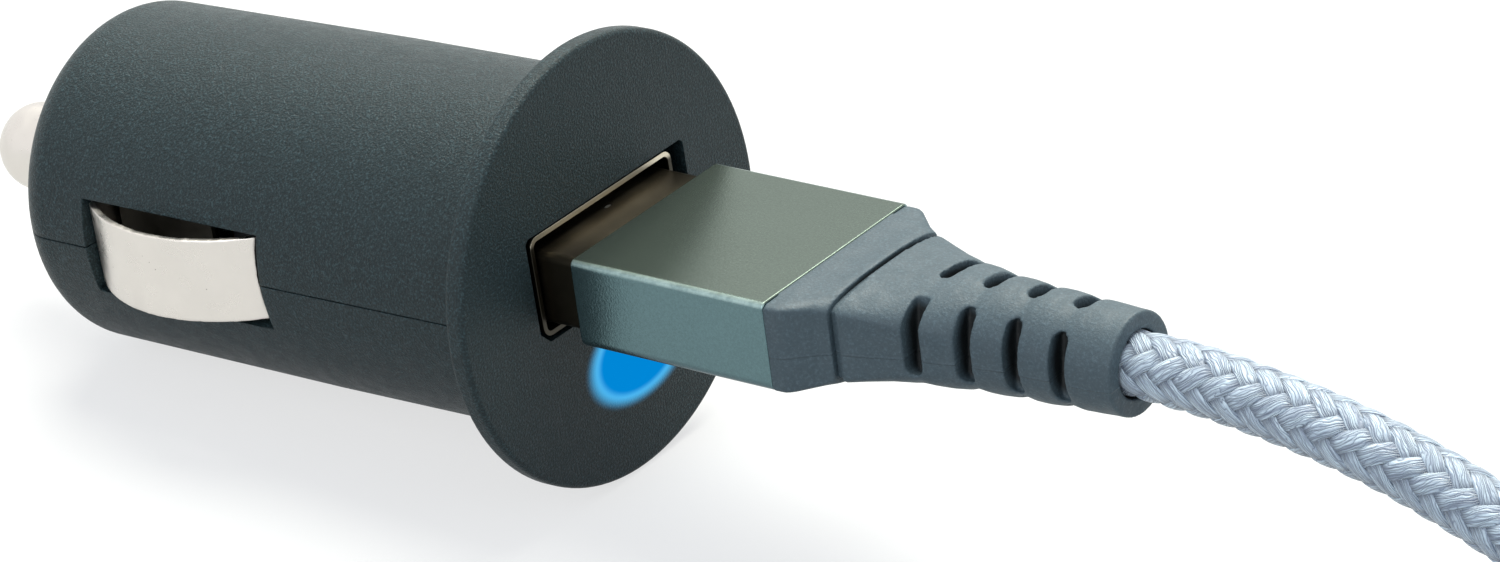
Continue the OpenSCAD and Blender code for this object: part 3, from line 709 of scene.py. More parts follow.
def sleeve_finish(context, half, name="sleeve_aluminium", place=LEAD):
    """Blasted and anodised aluminium, with painted reflection tints on its faces and sides and a painted
    highlight, broken up like wear, along the upper long edges. Half is (y, z).
    """
    base = tuple(context.scene.charger_colours.sleeve)
    highlight_width = 0.38
    f = Finish(name, place, Metallic=0.9)
    _, y, z = f.axes()
    # Painted highlight along the upper long edges
    near_side = f.math("SUBTRACT", f.math("ABSOLUTE", y), half[0] - highlight_width)
    near_face = f.math("SUBTRACT", z, half[1] - highlight_width)
    edge = f.range(f.math("MINIMUM", near_side, near_face), 0.0, 0.22)
    grain = f.noise(0.13, 2, 0.6)
    tone = f.mix(f.noise(5, 2), shade(base, 0.93), shade(base, 1.05))
    tone = f.mix(f.range(grain, 0.3, 0.75, 0.0, 0.45), tone, shade(base, 1.4))
    # Painted reflection colours: warmer on the top and bottom faces, bluer and brighter on the sides
    faces = f.range(f.math("ABSOLUTE", z), half[1] - 0.15, half[1] - 0.05)
    reflection_tint = f.mix(faces, (1.1, 1.25, 1.4, 1), (1.12, 1.0, 0.88, 1))
    tone = f.node("ShaderNodeVectorMath", tone, reflection_tint, operation="MULTIPLY")
    # Breaks the painted edge highlight up like wear
    worn = f.range(f.noise(0.4, 3, 0.6), 0.25, 0.7, 0.35, 0.8)
    f.set("Base Color", f.mix(f.math("MULTIPLY", edge, worn), tone, screen(176, 200, 198)))
    f.set("Roughness", f.range(edge, 0, 1, 0.23, 0.36))
    f.set("Normal", f.bump(grain, 0.009))
    return f.material


def rubber_finish(context, name="relief_rubber", place=LEAD, seam=True):
    """Satin moulding with a fine grain, small scuffs, painted shade in its recesses and its mould line."""
    base = tuple(context.scene.charger_colours.rubber)
    f = Finish(name, place, IOR=1.45)
    scuff = f.range(f.noise(0.55, 3, 0.7), 0.62, 0.75)
    fine = f.noise(0.17, 2, 0.7)
    tone = f.mix(f.noise(3, 3), shade(base, 0.9), shade(base, 1.1))
    tone = f.mix(f.math("MULTIPLY", scuff, 0.35), tone, shade(base, 1.6))
    tone = f.mix(f.range(fine, 0.3, 0.5, 0.3, 0.0), tone, shade(base, 0.6))
    tone = f.mix(f.range(fine, 0.5, 0.7, 0.0, 0.6), tone, shade(base, 1.7))
    # Painted shade: darker the deeper a point lies in a slot, the groove or the cord's hole
    f.set("Base Color", f.mix(f.own("recess_shade"), tone, shade(base, 0.1)))
    f.set("Roughness", f.range(f.noise(0.8, 2), 0.3, 0.7, 0.5, 0.62))
    relief = f.bump(fine, 0.035)
    if seam:
        wander = f.math("ADD", f.axes()[2], f.range(f.noise(4, 1), 0, 1, 0.32, 0.48))
        line = f.range(f.math("ABSOLUTE", wander), 0.02, 0.09, 1.0, 0.0)
        relief = f.bump(line, 0.035, relief)
    f.set("Normal", relief)
    return f.material


def braid_finish(context):
    """Filament strands: each tape is a bundle of fine round threads, with painted shade where it dives under the
    others.
    """
    base = tuple(context.scene.charger_colours.braid)
    threads = 8.0
    f = Finish("cord_braid", WORLD, Roughness=0.4, Sheen_Weight=0.35, Sheen_Roughness=0.35)
    uv = f.node("ShaderNodeUVMap", uv_map="strand")
    drift = f.noise(1, 2, 0.6, f.stretch((1.5, 0.6, 1), uv))
    each = f.noise(1, 2, 0.6, f.stretch((9, 0.35, 1), uv))
    wander = f.range(drift, 0.25, 0.75, -0.16, 0.16)
    thread = f.math("MULTIPLY", f.math("ADD", f.axes(uv)[0], wander), threads)
    ridge = f.math("ABSOLUTE", f.math("SINE", f.math("MULTIPLY", thread, math.pi)))
    tone = f.mix(f.range(each, 0.3, 0.7), shade(base, 0.5), shade(base, 1.3))
    tone = f.mix(f.range(ridge, 0.0, 0.45), f.mix(drift, shade(base, 0.2), shade(base, 0.7)), tone)
    # Painted shade: darker where a strand dives under the others
    f.set("Base Color", f.mix(f.range(f.own("crown"), -0.35, 0.75), shade(base, 0.3), tone))
    f.set("Normal", f.bump(ridge, 0.04))
    return f.material


def tie_finish():
    """Dark woven band."""
    f = Finish("tie_fabric", WORLD, Roughness=0.85, Sheen_Weight=0.3)
    x, _, z = f.axes()
    warp, weft = (f.math("SINE", f.math("MULTIPLY", axis, 9.0)) for axis in (x, z))
    weave = f.math("MULTIPLY", warp, weft)
    f.set("Base Color", f.mix(f.range(weave, -1, 1), screen(24, 26, 29), screen(52, 56, 61)))
    f.set("Normal", f.bump(weave, 0.05))
    return f.material


def plain_finish(name, colour, place=CHARGER, rough=0.5, metal=0.0, grain=0.2, depth=0.008):
    """A plainly finished inner part, with a slight cloud and grain of its own."""
    f = Finish(name, place, Metallic=metal)
    f.set("Base Color", f.mix(f.noise(1.4, 3), shade(colour, 0.82), shade(colour, 1.12)))
    f.set("Roughness", f.range(f.noise(0.7, 2), 0.25, 0.75, max(0.05, rough - 0.07), rough + 0.07))
    f.set("Normal", f.bump(f.noise(grain, 2), depth))
    return f.material


def board_finish():
    """Green solder resist over copper tracks."""
    f = Finish("board_green", CHARGER, Roughness=0.32)
    tracks = f.range(f.cells(1 / 0.9, feature="DISTANCE_TO_EDGE"), 0.08, 0.12, 1.0, 0.0)
    f.set("Base Color", f.mix(tracks, screen(22, 84, 48), screen(50, 128, 70)))
    f.set("Normal", f.bump(tracks, 0.03))
    return f.material


# The stage


class CHARGER_OT_stage(bpy.types.Operator):
    """Set up the camera, the soft studio lamps and the pale floor"""

    bl_idname = "charger.stage"
    bl_label = "Camera, lamps and floor"

    def execute(self, context):
        self.add_camera(context)
        self.add_lamps(context)
        self.add_world(context)
        self.add_floor(context)
        context.scene.view_settings.view_transform = "Standard"
        return {"FINISHED"}

    def add_camera(self, context):
        """The camera that was fitted to the photograph, turned by azimuth, elevation and roll."""
        azimuth, elevation, roll = (math.radians(a) for a in CAMERA_TURN)
        right = Vector((math.cos(azimuth), math.sin(azimuth), 0))
        back = Vector((
            math.sin(azimuth) * math.cos(elevation), -math.cos(azimuth) * math.cos(elevation),
            math.sin(elevation),
        ))
        up = back.cross(right)
        right, up = (
            right * math.cos(roll) + up * math.sin(roll),
            up * math.cos(roll) - right * math.sin(roll),
        )
        data = bpy.data.cameras.new("Camera")
        data.lens = CAMERA_LENS
        data.sensor_width = 36
        data.clip_start = 0.01
        data.clip_end = 20
        camera = bpy.data.objects.new("Camera", data)
        turn = Matrix((right, up, back)).transposed().to_4x4()
        camera.matrix_world = Matrix.Translation(Vector(CAMERA_AT) * MM) @ turn
        context.scene.collection.objects.link(camera)
        context.scene.camera = camera

    def add_lamps(self, context):
        """Three soft round lamps, aimed at the charger."""
        lamps = [
            ("Key", (-0.1, 0.3, 0.62), 0.6, 7.8, (1.0, 0.99, 0.88)),
            ("Fill", (0.0, -0.75, 0.45), 0.8, 2.3, (0.92, 0.97, 1.0)),
            ("Side", (0.75, 0.1, 0.4), 0.6, 1.1, (0.95, 1.0, 0.98)),
        ]
        target = Vector((0, 0, 0.012))
        for name, at, size, power, colour in lamps:
            data = bpy.data.lights.new(name, "AREA")
            data.shape = "DISK"
            data.size = size
            data.energy = power
            data.color = colour
            lamp = bpy.data.objects.new(name, data)
            lamp.location = at
            lamp.rotation_euler = (Vector(at) - target).to_track_quat("Z", "Y").to_euler()
            context.scene.collection.objects.link(lamp)

    def add_world(self, context):
        """White where it is seen or mirrored, and a dim blue light for all else."""
        world = bpy.data.worlds.new("Studio")
        world.use_nodes = True
        tree = world.node_tree
        tree.nodes.clear()
        rays = tree.nodes.new("ShaderNodeLightPath")
        seen = rays.outputs["Is Camera Ray"]
        for name in ("Is Glossy Ray", "Is Transmission Ray"):
            either = tree.nodes.new("ShaderNodeMath")
            either.operation = "MAXIMUM"
            tree.links.new(seen, either.inputs[0])
            tree.links.new(rays.outputs[name], either.inputs[1])
            seen = either.outputs[0]
        colour = tree.nodes.new("ShaderNodeMix")
        colour.data_type = "RGBA"
        colour.inputs[6].default_value = (0.31, 0.36, 0.43, 1)
        colour.inputs[7].default_value = (1, 1, 1, 1)
        tree.links.new(seen, colour.inputs[0])
        sky = tree.nodes.new("ShaderNodeBackground")
        tree.links.new(colour.outputs[2], sky.inputs["Color"])
        output = tree.nodes.new("ShaderNodeOutputWorld")
        tree.links.new(sky.outputs[0], output.inputs["Surface"])
        context.scene.world = world

    def add_floor(self, context):
        """The pale floor, which glows only toward the camera and, more weakly, in mirrors."""
        bm = bmesh.new()
        bmesh.ops.create_grid(bm, x_segments=1, y_segments=1, size=3)
        floor = link("floor", bm)
        f = Finish("pale_floor", WORLD, Roughness=0.9, Specular_IOR_Level=0.1)
        f.set("Base Color", f.mix(f.noise(40, 2), (0.3, 0.3, 0.3), (0.33, 0.33, 0.33)))
        rays = f.tree.nodes.new("ShaderNodeLightPath")
        mirrored = f.math("MULTIPLY", rays.outputs["Is Glossy Ray"], 0.6)
        seen = f.math("MAXIMUM", rays.outputs["Is Camera Ray"], mirrored)
        f.set("Emission Color", (1, 1, 1))
        f.set("Emission Strength", f.math("MULTIPLY", seen, 0.68))
        floor.data.materials.append(f.material)


# The cord


def coil_points(per_turn=24):
    """Two rows of round turns: inward on the floor, up over the inmost, and outward on top."""
    def step(t, start):
        t = min(1.0, max(0.0, (t - start) / STEP_SHARE))
        return TURN_STEP * t * t * (3 - 2 * t)

    points = []
    for i in range(int(COIL_TURNS * per_turn) + 1):
        t = i / per_turn
        radius = COIL_RADIUS - sum(step(t, at) for at in INWARD_AT) + sum(step(t, at) for at in OUTWARD_AT)
        angle = TAU * (0.25 - t)
        points.append((
            COIL_AT[0] + radius * math.cos(angle), COIL_AT[1] + radius * math.sin(angle),
            COIL_LOW + step(t, UP_AT),
        ))
    return points


def smooth_line(points, step):
    """Points a step apart along a smooth curve through the given ones."""
    p = np.array(points, float)
    p = np.vstack([2 * p[0] - p[1], p, 2 * p[-1] - p[-2]])
    fine = []
    for a, b, c, d in zip(p, p[1:], p[2:], p[3:]):
        for t in np.linspace(0, 1, 12, endpoint=False):
            fine.append(0.5 * (2 * b + (c - a) * t + (2 * a - 5 * b + 4 * c - d) * t ** 2
                               + (3 * b - a - 3 * c + d) * t ** 3))
    fine = np.array(fine + [p[-2]])
    reach = np.concatenate([[0], np.cumsum(np.linalg.norm(np.diff(fine, axis=0), axis=1))])
    at = np.linspace(0, reach[-1], max(2, int(round(reach[-1] / step)) + 1))
    return np.stack([np.interp(at, reach, fine[:, k]) for k in range(3)], axis=1), at


def carried_frames(line):
    """Two directions across a line that turn with it and never twist."""
    forward = np.gradient(line, axis=0)
    forward /= np.linalg.norm(forward, axis=1, keepdims=True)
    side = np.zeros_like(line)
    last = np.array([0.0, 1.0, 0.0])
    for i, t in enumerate(forward):
        last = last - t * np.dot(last, t)
        last /= np.linalg.norm(last)
        side[i] = last
    return side, np.cross(forward, side)


def ring_mesh(name, rings, uvs=None, crowns=None):
    """Closed bars through rings of points, one bar for each entry: arrays of (ring, point, xyz).

    Each bar may have its points' places across and along the strand, and how high it rides in the weave.
    """
    verts, faces, loops = [], [], []
    for k, bar in enumerate(rings):
        base = len(verts)
        count, sides, _ = bar.shape
        verts.extend(bar.reshape(-1, 3).tolist())
        for i in range(count - 1):
            for j in range(sides):
                a, b = base + i * sides + j, base + i * sides + (j + 1) % sides
                faces.append((a, b, b + sides, a + sides))
                if uvs is not None:
                    across, along = uvs[k]
                    u0, u1 = across[j], across[j + 1]
                    v0, v1 = along[i], along[i + 1]
                    loops.extend([(u0, v0), (u1, v0), (u1, v1), (u0, v1)])
        for start, order in ((base, -1), (base + (count - 1) * sides, 1)):
            faces.append(tuple(start + j for j in range(sides))[::order])
            if uvs is not None:
                loops.extend([(uvs[k][0][0], 0.0)] * sides)
    mesh = bpy.data.meshes.new(name)
    mesh.from_pydata(verts, [], faces)
    if uvs is not None:
        layer = mesh.uv_layers.new(name="strand")
        layer.data.foreach_set("uv", np.array(loops, float).ravel())
    if crowns is not None:
        values = np.concatenate([np.repeat(crown, bar.shape[1]) for crown, bar in zip(crowns, rings)])
        mesh.attributes.new("crown", "FLOAT", "POINT").data.foreach_set("value", values)
    mesh.update()
    piece = bpy.data.objects.new(name, mesh)
    bpy.context.scene.collection.objects.link(piece)
    return piece


def braid(name, line, at, sizes, section, pinch=False):
    """Strands wound both ways round a line, each over two and under two of the others.

    A section's points are (across, out, place across the pattern). A pinched braid narrows toward its start.
    """
    lay, carriers = sizes.braid_lay, sizes.braid_carriers
    side, lift = carried_frames(line)
    weave, half_strand = 0.1, 0.11
    middle = sizes.cord_diameter / 2 - weave - half_strand
    squeeze = np.interp(at, [0, 1.3, 4.5], [0.95, 0.96, 1.0]) if pinch else np.ones_like(at)
    bars, uvs, crowns = [], [], []
    for hand in (1, -1):
        for i in range(carriers):
            crossing = at / (lay / (2 * carriers))
            phase = (crossing + 2 * i if hand > 0 else 2 * i - crossing) - 0.5
            crowns.append(hand * np.cos(TAU * phase / 4))
            r = (middle + weave * crowns[-1]) * squeeze
            turn = TAU * i / carriers + hand * TAU * at / lay
            out = side * np.cos(turn)[:, None] + lift * np.sin(turn)[:, None]
            centre = line + out * r[:, None]
            wide = np.cross(np.gradient(centre, axis=0), out)
            wide /= np.linalg.norm(wide, axis=1, keepdims=True)
            wide *= squeeze[:, None]
            bars.append(np.stack([centre + wide * a + out * b for a, b, _ in section], axis=1))
            # Every strand has the pattern in a place of its own
            index = i + (0 if hand > 0 else carriers)
            across = [index * 1.37 + u for _, _, u in section + section[:1]]
            uvs.append((across, at + 3.1 * index))
    return ring_mesh(name, bars, uvs, crowns)


# Strand sections: fully shaped, and plainer
FULL_STRAND = [
    (-0.6, -0.1, 0.0), (-0.42, 0.04, 0.15), (-0.15, 0.1, 0.38), (0.15, 0.1, 0.62),
    (0.42, 0.04, 0.85), (0.6, -0.1, 1.0), (0.25, -0.12, 0.7), (-0.25, -0.12, 0.3),
]
PLAIN_STRAND = [(-0.6, -0.09, 0.0), (0, 0.1, 0.5), (0.6, -0.09, 1.0)]


class CHARGER_OT_cord(bpy.types.Operator):
    """Make the braided cord, its coil and the strap that ties it"""

    bl_idname = "charger.cord"
    bl_label = "Cord, coil and strap"

    def execute(self, context):
        sizes = context.scene.lead_sizes
        radius = sizes.cord_diameter / 2
        route = CORD_RUN + coil_points() + CORD_TAIL
        line, at = smooth_line(route, 2.0)
        core = self.add_core(line, radius)

        inward = (LEAD.to_3x3() @ Vector((1, 0, 0))).normalized()
        start = np.array(CORD_RUN[0]) - BRAID_INSIDE * np.array(inward)
        fine, along = smooth_line([tuple(start)] + route, 0.25)
        last = int(np.searchsorted(along, FULL_STRANDS))
        first_part, rest = slice(last + 1), slice(last, None, 2)
        run = braid("braid_run", fine[first_part], along[first_part], sizes, FULL_STRAND, pinch=True)
        wound = braid("braid_coil", fine[rest], along[rest], sizes, PLAIN_STRAND)
        finish = braid_finish(context)
        for piece in (run, wound):
            dress(piece, WORLD, "lead", finish, sharp=None)

        strap = self.add_strap(radius)
        return {"FINISHED"}

    def add_core(self, line, radius):
        """The dark core that shows between the strands."""
        jacket = 0.42
        side, lift = carried_frames(line)
        angles = (np.arange(12) * TAU / 12)[None, :, None]
        out = side[:, None] * np.cos(angles) + lift[:, None] * np.sin(angles)
        core = ring_mesh("cord_core", [line[:, None] + (radius - jacket) * out])
        dark = plain_finish("cord_core", screen(52, 58, 70), WORLD, 0.7)
        return dress(core, WORLD, "lead", dark, ["cord", "cord_coil", "cord_tail"])

    def add_strap(self, radius):
        """A woven band drawn tight round both rows of the coil."""
        start, width = math.radians(200), math.radians(17)
        inmost = COIL_RADIUS - 3 * TURN_STEP
        high = COIL_LOW + TURN_STEP
        # Each bend's radius from the coil's middle, its height and the angles between which it turns
        bends = (
            (COIL_RADIUS, COIL_LOW, -90, 45), (COIL_RADIUS - TURN_STEP, high, 45, 90),
            (inmost, high, 90, 180), (inmost, COIL_LOW, 180, 270),
        )

        def loop(grow):
            points = []
            for r, z, first, last in bends:
                for k in range(6):
                    a = math.radians(first + (last - first) * k / 5)
                    reach = r + (radius + grow) * math.cos(a)
                    points.append((
                        COIL_AT[0] + reach * math.cos(start), COIL_AT[1] + reach * math.sin(start),
                        z + (radius + grow) * math.sin(a),
                    ))
            return points

        bm = bmesh.new()
        edges = edge_loop(bm, loop(0.53)) + edge_loop(bm, loop(0.02))
        faces = bmesh.ops.bridge_loops(bm, edges=edges)["faces"]
        bmesh.ops.spin(
            bm, geom=[*bm.verts, *bm.edges, *faces], cent=(*COIL_AT, 0), axis=(0, 0, 1),
            dvec=(0, 0, 0), angle=width, steps=8,
        )
        bmesh.ops.recalc_face_normals(bm, faces=bm.faces)
        return dress(link("cord_strap", bm), WORLD, "lead", tie_finish(), ["cord_tie"])


# The charger


class CHARGER_OT_barrel(bpy.types.Operator):
    """Turn the barrel's two half shells and cut the side contacts' slots"""

    bl_idname = "charger.barrel"
    bl_label = "Barrel halves"

    def execute(self, context):
        sizes = context.scene.charger_sizes
        finish = plastic_finish(context)
        for name, node, hand in (("shell_upper", "upper_shell", 1), ("shell_lower", "lower_shell", -1)):
            gap = hand * PARTING_GAP
            outline = [(x, hand * r, gap) for x, r in self.outline(sizes)]
            shell = make(name, add_swung, outline, (0, 0, gap), (1, 0, 0), math.pi, 60)
            cut_with(shell, add_pair, *LEAF_SLOT)
            soften(shell, sizes.parting_edge, 2, 50)
            self.add_inside(shell, hand)
            dress(shell, CHARGER, "charger", finish, [node], sharp=50)
        return {"FINISHED"}

    def outline(self, sizes):
        """Closed outline of the wall as (x, r), from the flange round the nose and back inside."""
        outer, wall, turn = sizes.barrel_radius, sizes.barrel_wall, sizes.nose_round
        nose = outer - 0.2
        return (
            [(BARREL_END, outer - 0.3), (-FLANGE_T, outer - 0.3), (-FLANGE_T, outer), (TAPER_X, outer)]
            + arc(NOSE_X + turn, nose - turn, turn, 0, -90, 14)
            + [(NOSE_X, 4.75), (NOSE_X - 0.12, 4.6), (COLLAR_END + 0.15, 4.25), (COLLAR_END, 4.1)]
            + [(COLLAR_END, 2.8), (-35.8, 2.8), (-35.8, 4.1), (-25.85, 4.1), (-25.85, 5.1), (-35.8, 5.1)]
            + [(-35.8, nose - turn), (-35.1, nose - wall)]
            + [(TAPER_X, outer - wall), (BARREL_END, outer - wall)]
        )

    def add_inside(self, shell, hand):
        """The posts that join the halves, and the rails under the board."""
        bm = open_mesh(shell)
        for x, y in POSTS:
            for side in (-1, 1):
                add_post(bm, (x, side * y), 1, *sorted((hand * 0.03, hand * 3.6)))
        if hand < 0:
            add_pair(bm, *RAILS)
        close_mesh(shell, bm)


class CHARGER_OT_face(bpy.types.Operator):
    """Turn the flange, cut its port and window, and set the lit window in it"""

    bl_idname = "charger.face"
    bl_label = "Flange and light window"

    def execute(self, context):
        sizes = context.scene.charger_sizes
        plate = make("flange_plate", add_turned, self.outline(sizes), 128)
        cut(plate, self.port_tool())
        cut_with(plate, add_drum, -3 * FLANGE_T, 1, sizes.window_radius + 0.01, (0, WINDOW_Z))
        # Room behind the slot for the receptacle, and a notch for the board's front edge
        cut_with(plate, add_block, (-5.5, -6.7, PORT_Z - 3.01), (-FLANGE_T, 6.7, PORT_Z + 3.01))
        cut_with(plate, add_block, (-5.5, -7.4, -3.31), (-3.1, 7.4, -1.71))
        soften(plate, 0.07, 2, 50)
        finish = plastic_finish(context, "flange_plastic", glow=True)
        dress(plate, CHARGER, "charger", finish, ["face_plate"], sharp=50)

        bm = bmesh.new()
        r = sizes.window_radius
        add_turned(bm, [(0, 0), (-0.005, r * 0.7), (-0.01, r - 0.02), (-0.03, r), (-FLANGE_T, r),
                        (-FLANGE_T, 1.4), (-4.7, 1.4), (-4.7, 0)], 64)
        bmesh.ops.translate(bm, vec=(0, 0, WINDOW_Z), verts=bm.verts)
        lens = link("window_lens", bm)
        dress(lens, CHARGER, "charger", window_finish(context), ["light_window"])
        return {"FINISHED"}

    def outline(self, sizes):
        """Closed outline of the flange as (x, r), with the locating ring behind it."""
        radius, edge = sizes.flange_radius, sizes.flange_edge
        seat = sizes.barrel_radius + 0.05
        ring = (8.85, 7.65)
        return (
            [(0, 0)]
            + arc(-edge, radius - edge, edge, 90, 0, 6)
            + arc(-FLANGE_T + edge, radius - edge, edge, 0, -90, 6)
            + [(-FLANGE_T, seat), (BARREL_END, seat), (BARREL_END, ring[0]), (-4.3, ring[0])]
            + [(-4.3, ring[1]), (-FLANGE_T, ring[1]), (-FLANGE_T, 0)]
        )

    def port_tool(self):
        """The slot: eight corners, the lower two cut wider."""
        near, far, h, low, top = -6.95, 7.5, 3.3, 0.75, 0.25
        corners = [(near, h - top), (near + top, h), (far - top, h), (far, h - top),
                   (far, -h + low), (far - low, -h), (near + low, -h), (near, -h + low)]
        bm = bmesh.new()
        face = bm.faces.new([bm.verts.new((-FLANGE_T - 0.2, y, PORT_Z + z)) for y, z in corners])
        made = bmesh.ops.extrude_face_region(bm, geom=[face])["geom"]
        bmesh.ops.translate(bm, vec=(3, 0, 0), verts=[v for v in made if isinstance(v, bmesh.types.BMVert)])
        bmesh.ops.recalc_face_normals(bm, faces=bm.faces)
        return bm


class CHARGER_OT_contacts(bpy.types.Operator):
    """Turn the sprung centre contact and bow the two side contacts"""

    bl_idname = "charger.contacts"
    bl_label = "Centre and side contacts"

    def execute(self, context):
        sizes = context.scene.charger_sizes
        r = sizes.pin_radius
        tip = arc(PIN_TIP + r, 0, r, -90, 0, 14)
        pin = make("centre_pin", add_turned, [(PIN_TIP, 0)] + tip[1:] + [
            (SHOULDER_X, r), (SHOULDER_X, r + 1.25), (SHOULDER_X + 1, r + 1.25), (SHOULDER_X + 1, 1.9),
            (SHOULDER_X + 3, 1.9), (SHOULDER_X + 3, 0),
        ], 64)
        finish = nickel_finish(context, "pin_nickel", worn=False)
        dress(pin, CHARGER, "nose", finish, ["nose_contact"])
        finish = nickel_finish(context, "leaf_nickel")
        for name, node, body, side in (
            ("leaf_left", "side_contact_left", "left_contact", -1),
            ("leaf_right", "side_contact_right", "right_contact", 1),
        ):
            leaf = self.add_leaf(sizes, name, side)
            dress(leaf, CHARGER, body, finish, [node], sharp=50)
        return {"FINISHED"}

    def add_leaf(self, sizes, name, side):
        """A strip bowed about an upright axis, one end turned in, the other cut hollow."""
        outer, sheet, half = sizes.leaf_bow, sizes.leaf_sheet, sizes.leaf_width / 2
        centre = Vector((LEAF_MID, side * (sizes.leaf_crest - outer), 0))
        first = Vector((-math.sin(LEAF_HALF_ANGLE), side * math.cos(LEAF_HALF_ANGLE), 0)) * outer
        rows = 26
        heights = [half * (2 * i / rows - 1) for i in range(rows + 1)]
        bm = bmesh.new()
        column = [bm.verts.new(centre + first + Vector((0, 0, z))) for z in heights]
        edges = [bm.edges.new(pair) for pair in zip(column, column[1:])]
        bmesh.ops.spin(
            bm, geom=column + edges, cent=centre, axis=(0, 0, 1), dvec=(0, 0, 0),
            angle=-side * 2 * LEAF_HALF_ANGLE, steps=56,
        )
        # The free end is drawn back in its middle, and the cut edges are a little ragged
        for v in bm.verts:
            across = v.co.z / half
            spot = v.co - centre
            angle = math.atan2(spot.x, side * spot.y)
            along = (angle + LEAF_HALF_ANGLE) / (2 * LEAF_HALF_ANGLE)
            pull = 0.3 * (1 - across ** 2) * along ** 10 / outer
            rough = 0.035 * noise.noise(Vector((v.co.x * 3.1, side * 7, v.co.z * 2.6)))
            angle -= pull + (rough * 1.6 / outer if along > 0.97 else 0)
            v.co.x = centre.x + outer * math.sin(angle)
            v.co.y = centre.y + side * outer * math.cos(angle)
            if abs(across) > 0.999:
                v.co.z += rough
        root = [v for v in bm.verts if (v.co - centre - first).xy.length < 1e-3]
        leg_edges = [e for e in bm.edges if e.verts[0] in root and e.verts[1] in root]
        for step, lead in ((0.35, 0.12), (0.4, 0.05), (1.5, 0.0)):
            leg_edges, _ = draw_out(bm, leg_edges, (-lead, -side * step, 0))
        bmesh.ops.recalc_face_normals(bm, faces=bm.faces)
        outward = sum((f.normal.y * side for f in bm.faces), 0.0)
        if outward < 0:
            bmesh.ops.reverse_faces(bm, faces=bm.faces)
        bmesh.ops.solidify(bm, geom=bm.faces, thickness=sheet)
        bmesh.ops.recalc_face_normals(bm, faces=bm.faces)
        return soften(link(name, bm), 0.05, 2, 50)


class CHARGER_OT_port(bpy.types.Operator):
    """Fold the receptacle's shell, with its flared mouth and spring fingers"""

    bl_idname = "charger.port"
    bl_label = "Receptacle"

    def execute(self, context):
        width, height = SOCKET_SIZE
        shell = make("receptacle", add_rounded_bar, SOCKET_REAR, SOCKET_FRONT, width, height, 0.65)
        cut_with(
            shell, add_rounded_bar, SOCKET_REAR - 1, SOCKET_FRONT + 1,
            width - 2 * SHEET, height - 2 * SHEET, 0.35,
        )
        cut_with(shell, add_pair, (-8.2, -3.7), (2.1, 3.9), (-4, 4))
        bm = open_mesh(shell)
        self.flare(bm)
        for y in (-3, 3):
            for hand in (-1, 1):
                self.add_finger(bm, y, hand)
        # Solder legs
        for x in (-5.6, -10.6):
            add_pair(bm, (x - 0.7, x + 0.7), (6.25, 6.55), (-4.85, 0))
        bmesh.ops.translate(bm, vec=(0, 0, PORT_Z), verts=bm.verts)
        close_mesh(shell, bm)
        soften(shell, 0.05, 2, 50)
        finish = sheet_finish("socket_metal", screen(222, 214, 194), CHARGER, 0.34, 0.8, shade_behind_lip=True)
        dress(shell, CHARGER, "charger", finish, ["socket_shell"], sharp=50)
        return {"FINISHED"}

    def flare(self, bm):
        """Opens the lips above and below, and draws the side walls in a little at the mouth."""
        for x in (FLARE_FROM, -1.25, -0.95, -0.7, -0.45, -0.25):
            bmesh.ops.bisect_plane(
                bm, geom=[*bm.verts, *bm.edges, *bm.faces], plane_co=(x, 0, 0), plane_no=(1, 0, 0),
            )
        for v in bm.verts:
            t = max(0.0, (v.co.x - FLARE_FROM) / (SOCKET_FRONT - FLARE_FROM))
            if t and abs(v.co.z) > 2.2:
                v.co.z += 0.3 * t ** 2 if v.co.z > 0 else -0.15 * t ** 2
            elif t and abs(v.co.y) > 6.4 and v.co.x > -0.2:
                v.co.y = math.copysign(6.4, v.co.y)
            if v.co.y > 5.9:
                v.co.y -= 0.2 * t

    def add_finger(self, bm, y, hand):
        """A spring finger in its window, bowed toward the plug."""
        stations = [(-8.3, 0.0), (-7.2, 0.0), (-6.2, 0.12), (-5.2, 0.2), (-4.5, 0.16), (-3.95, 0.02)]
        column = [bm.verts.new((-8.3, y + k, hand * 2.86)) for k in (-0.6, 0, 0.6)]
        edges = [bm.edges.new(pair) for pair in zip(column, column[1:])]
        faces = []
        for (x0, drop0), (x1, drop1) in zip(stations, stations[1:]):
            edges, strip = draw_out(bm, edges, (x1 - x0, 0, -hand * (drop1 - drop0)))
            faces += strip
        if faces[0].normal.z * hand < 0:
            bmesh.ops.reverse_faces(bm, faces=faces)
        bmesh.ops.solidify(bm, geom=faces, thickness=0.25)


# The lead's near end


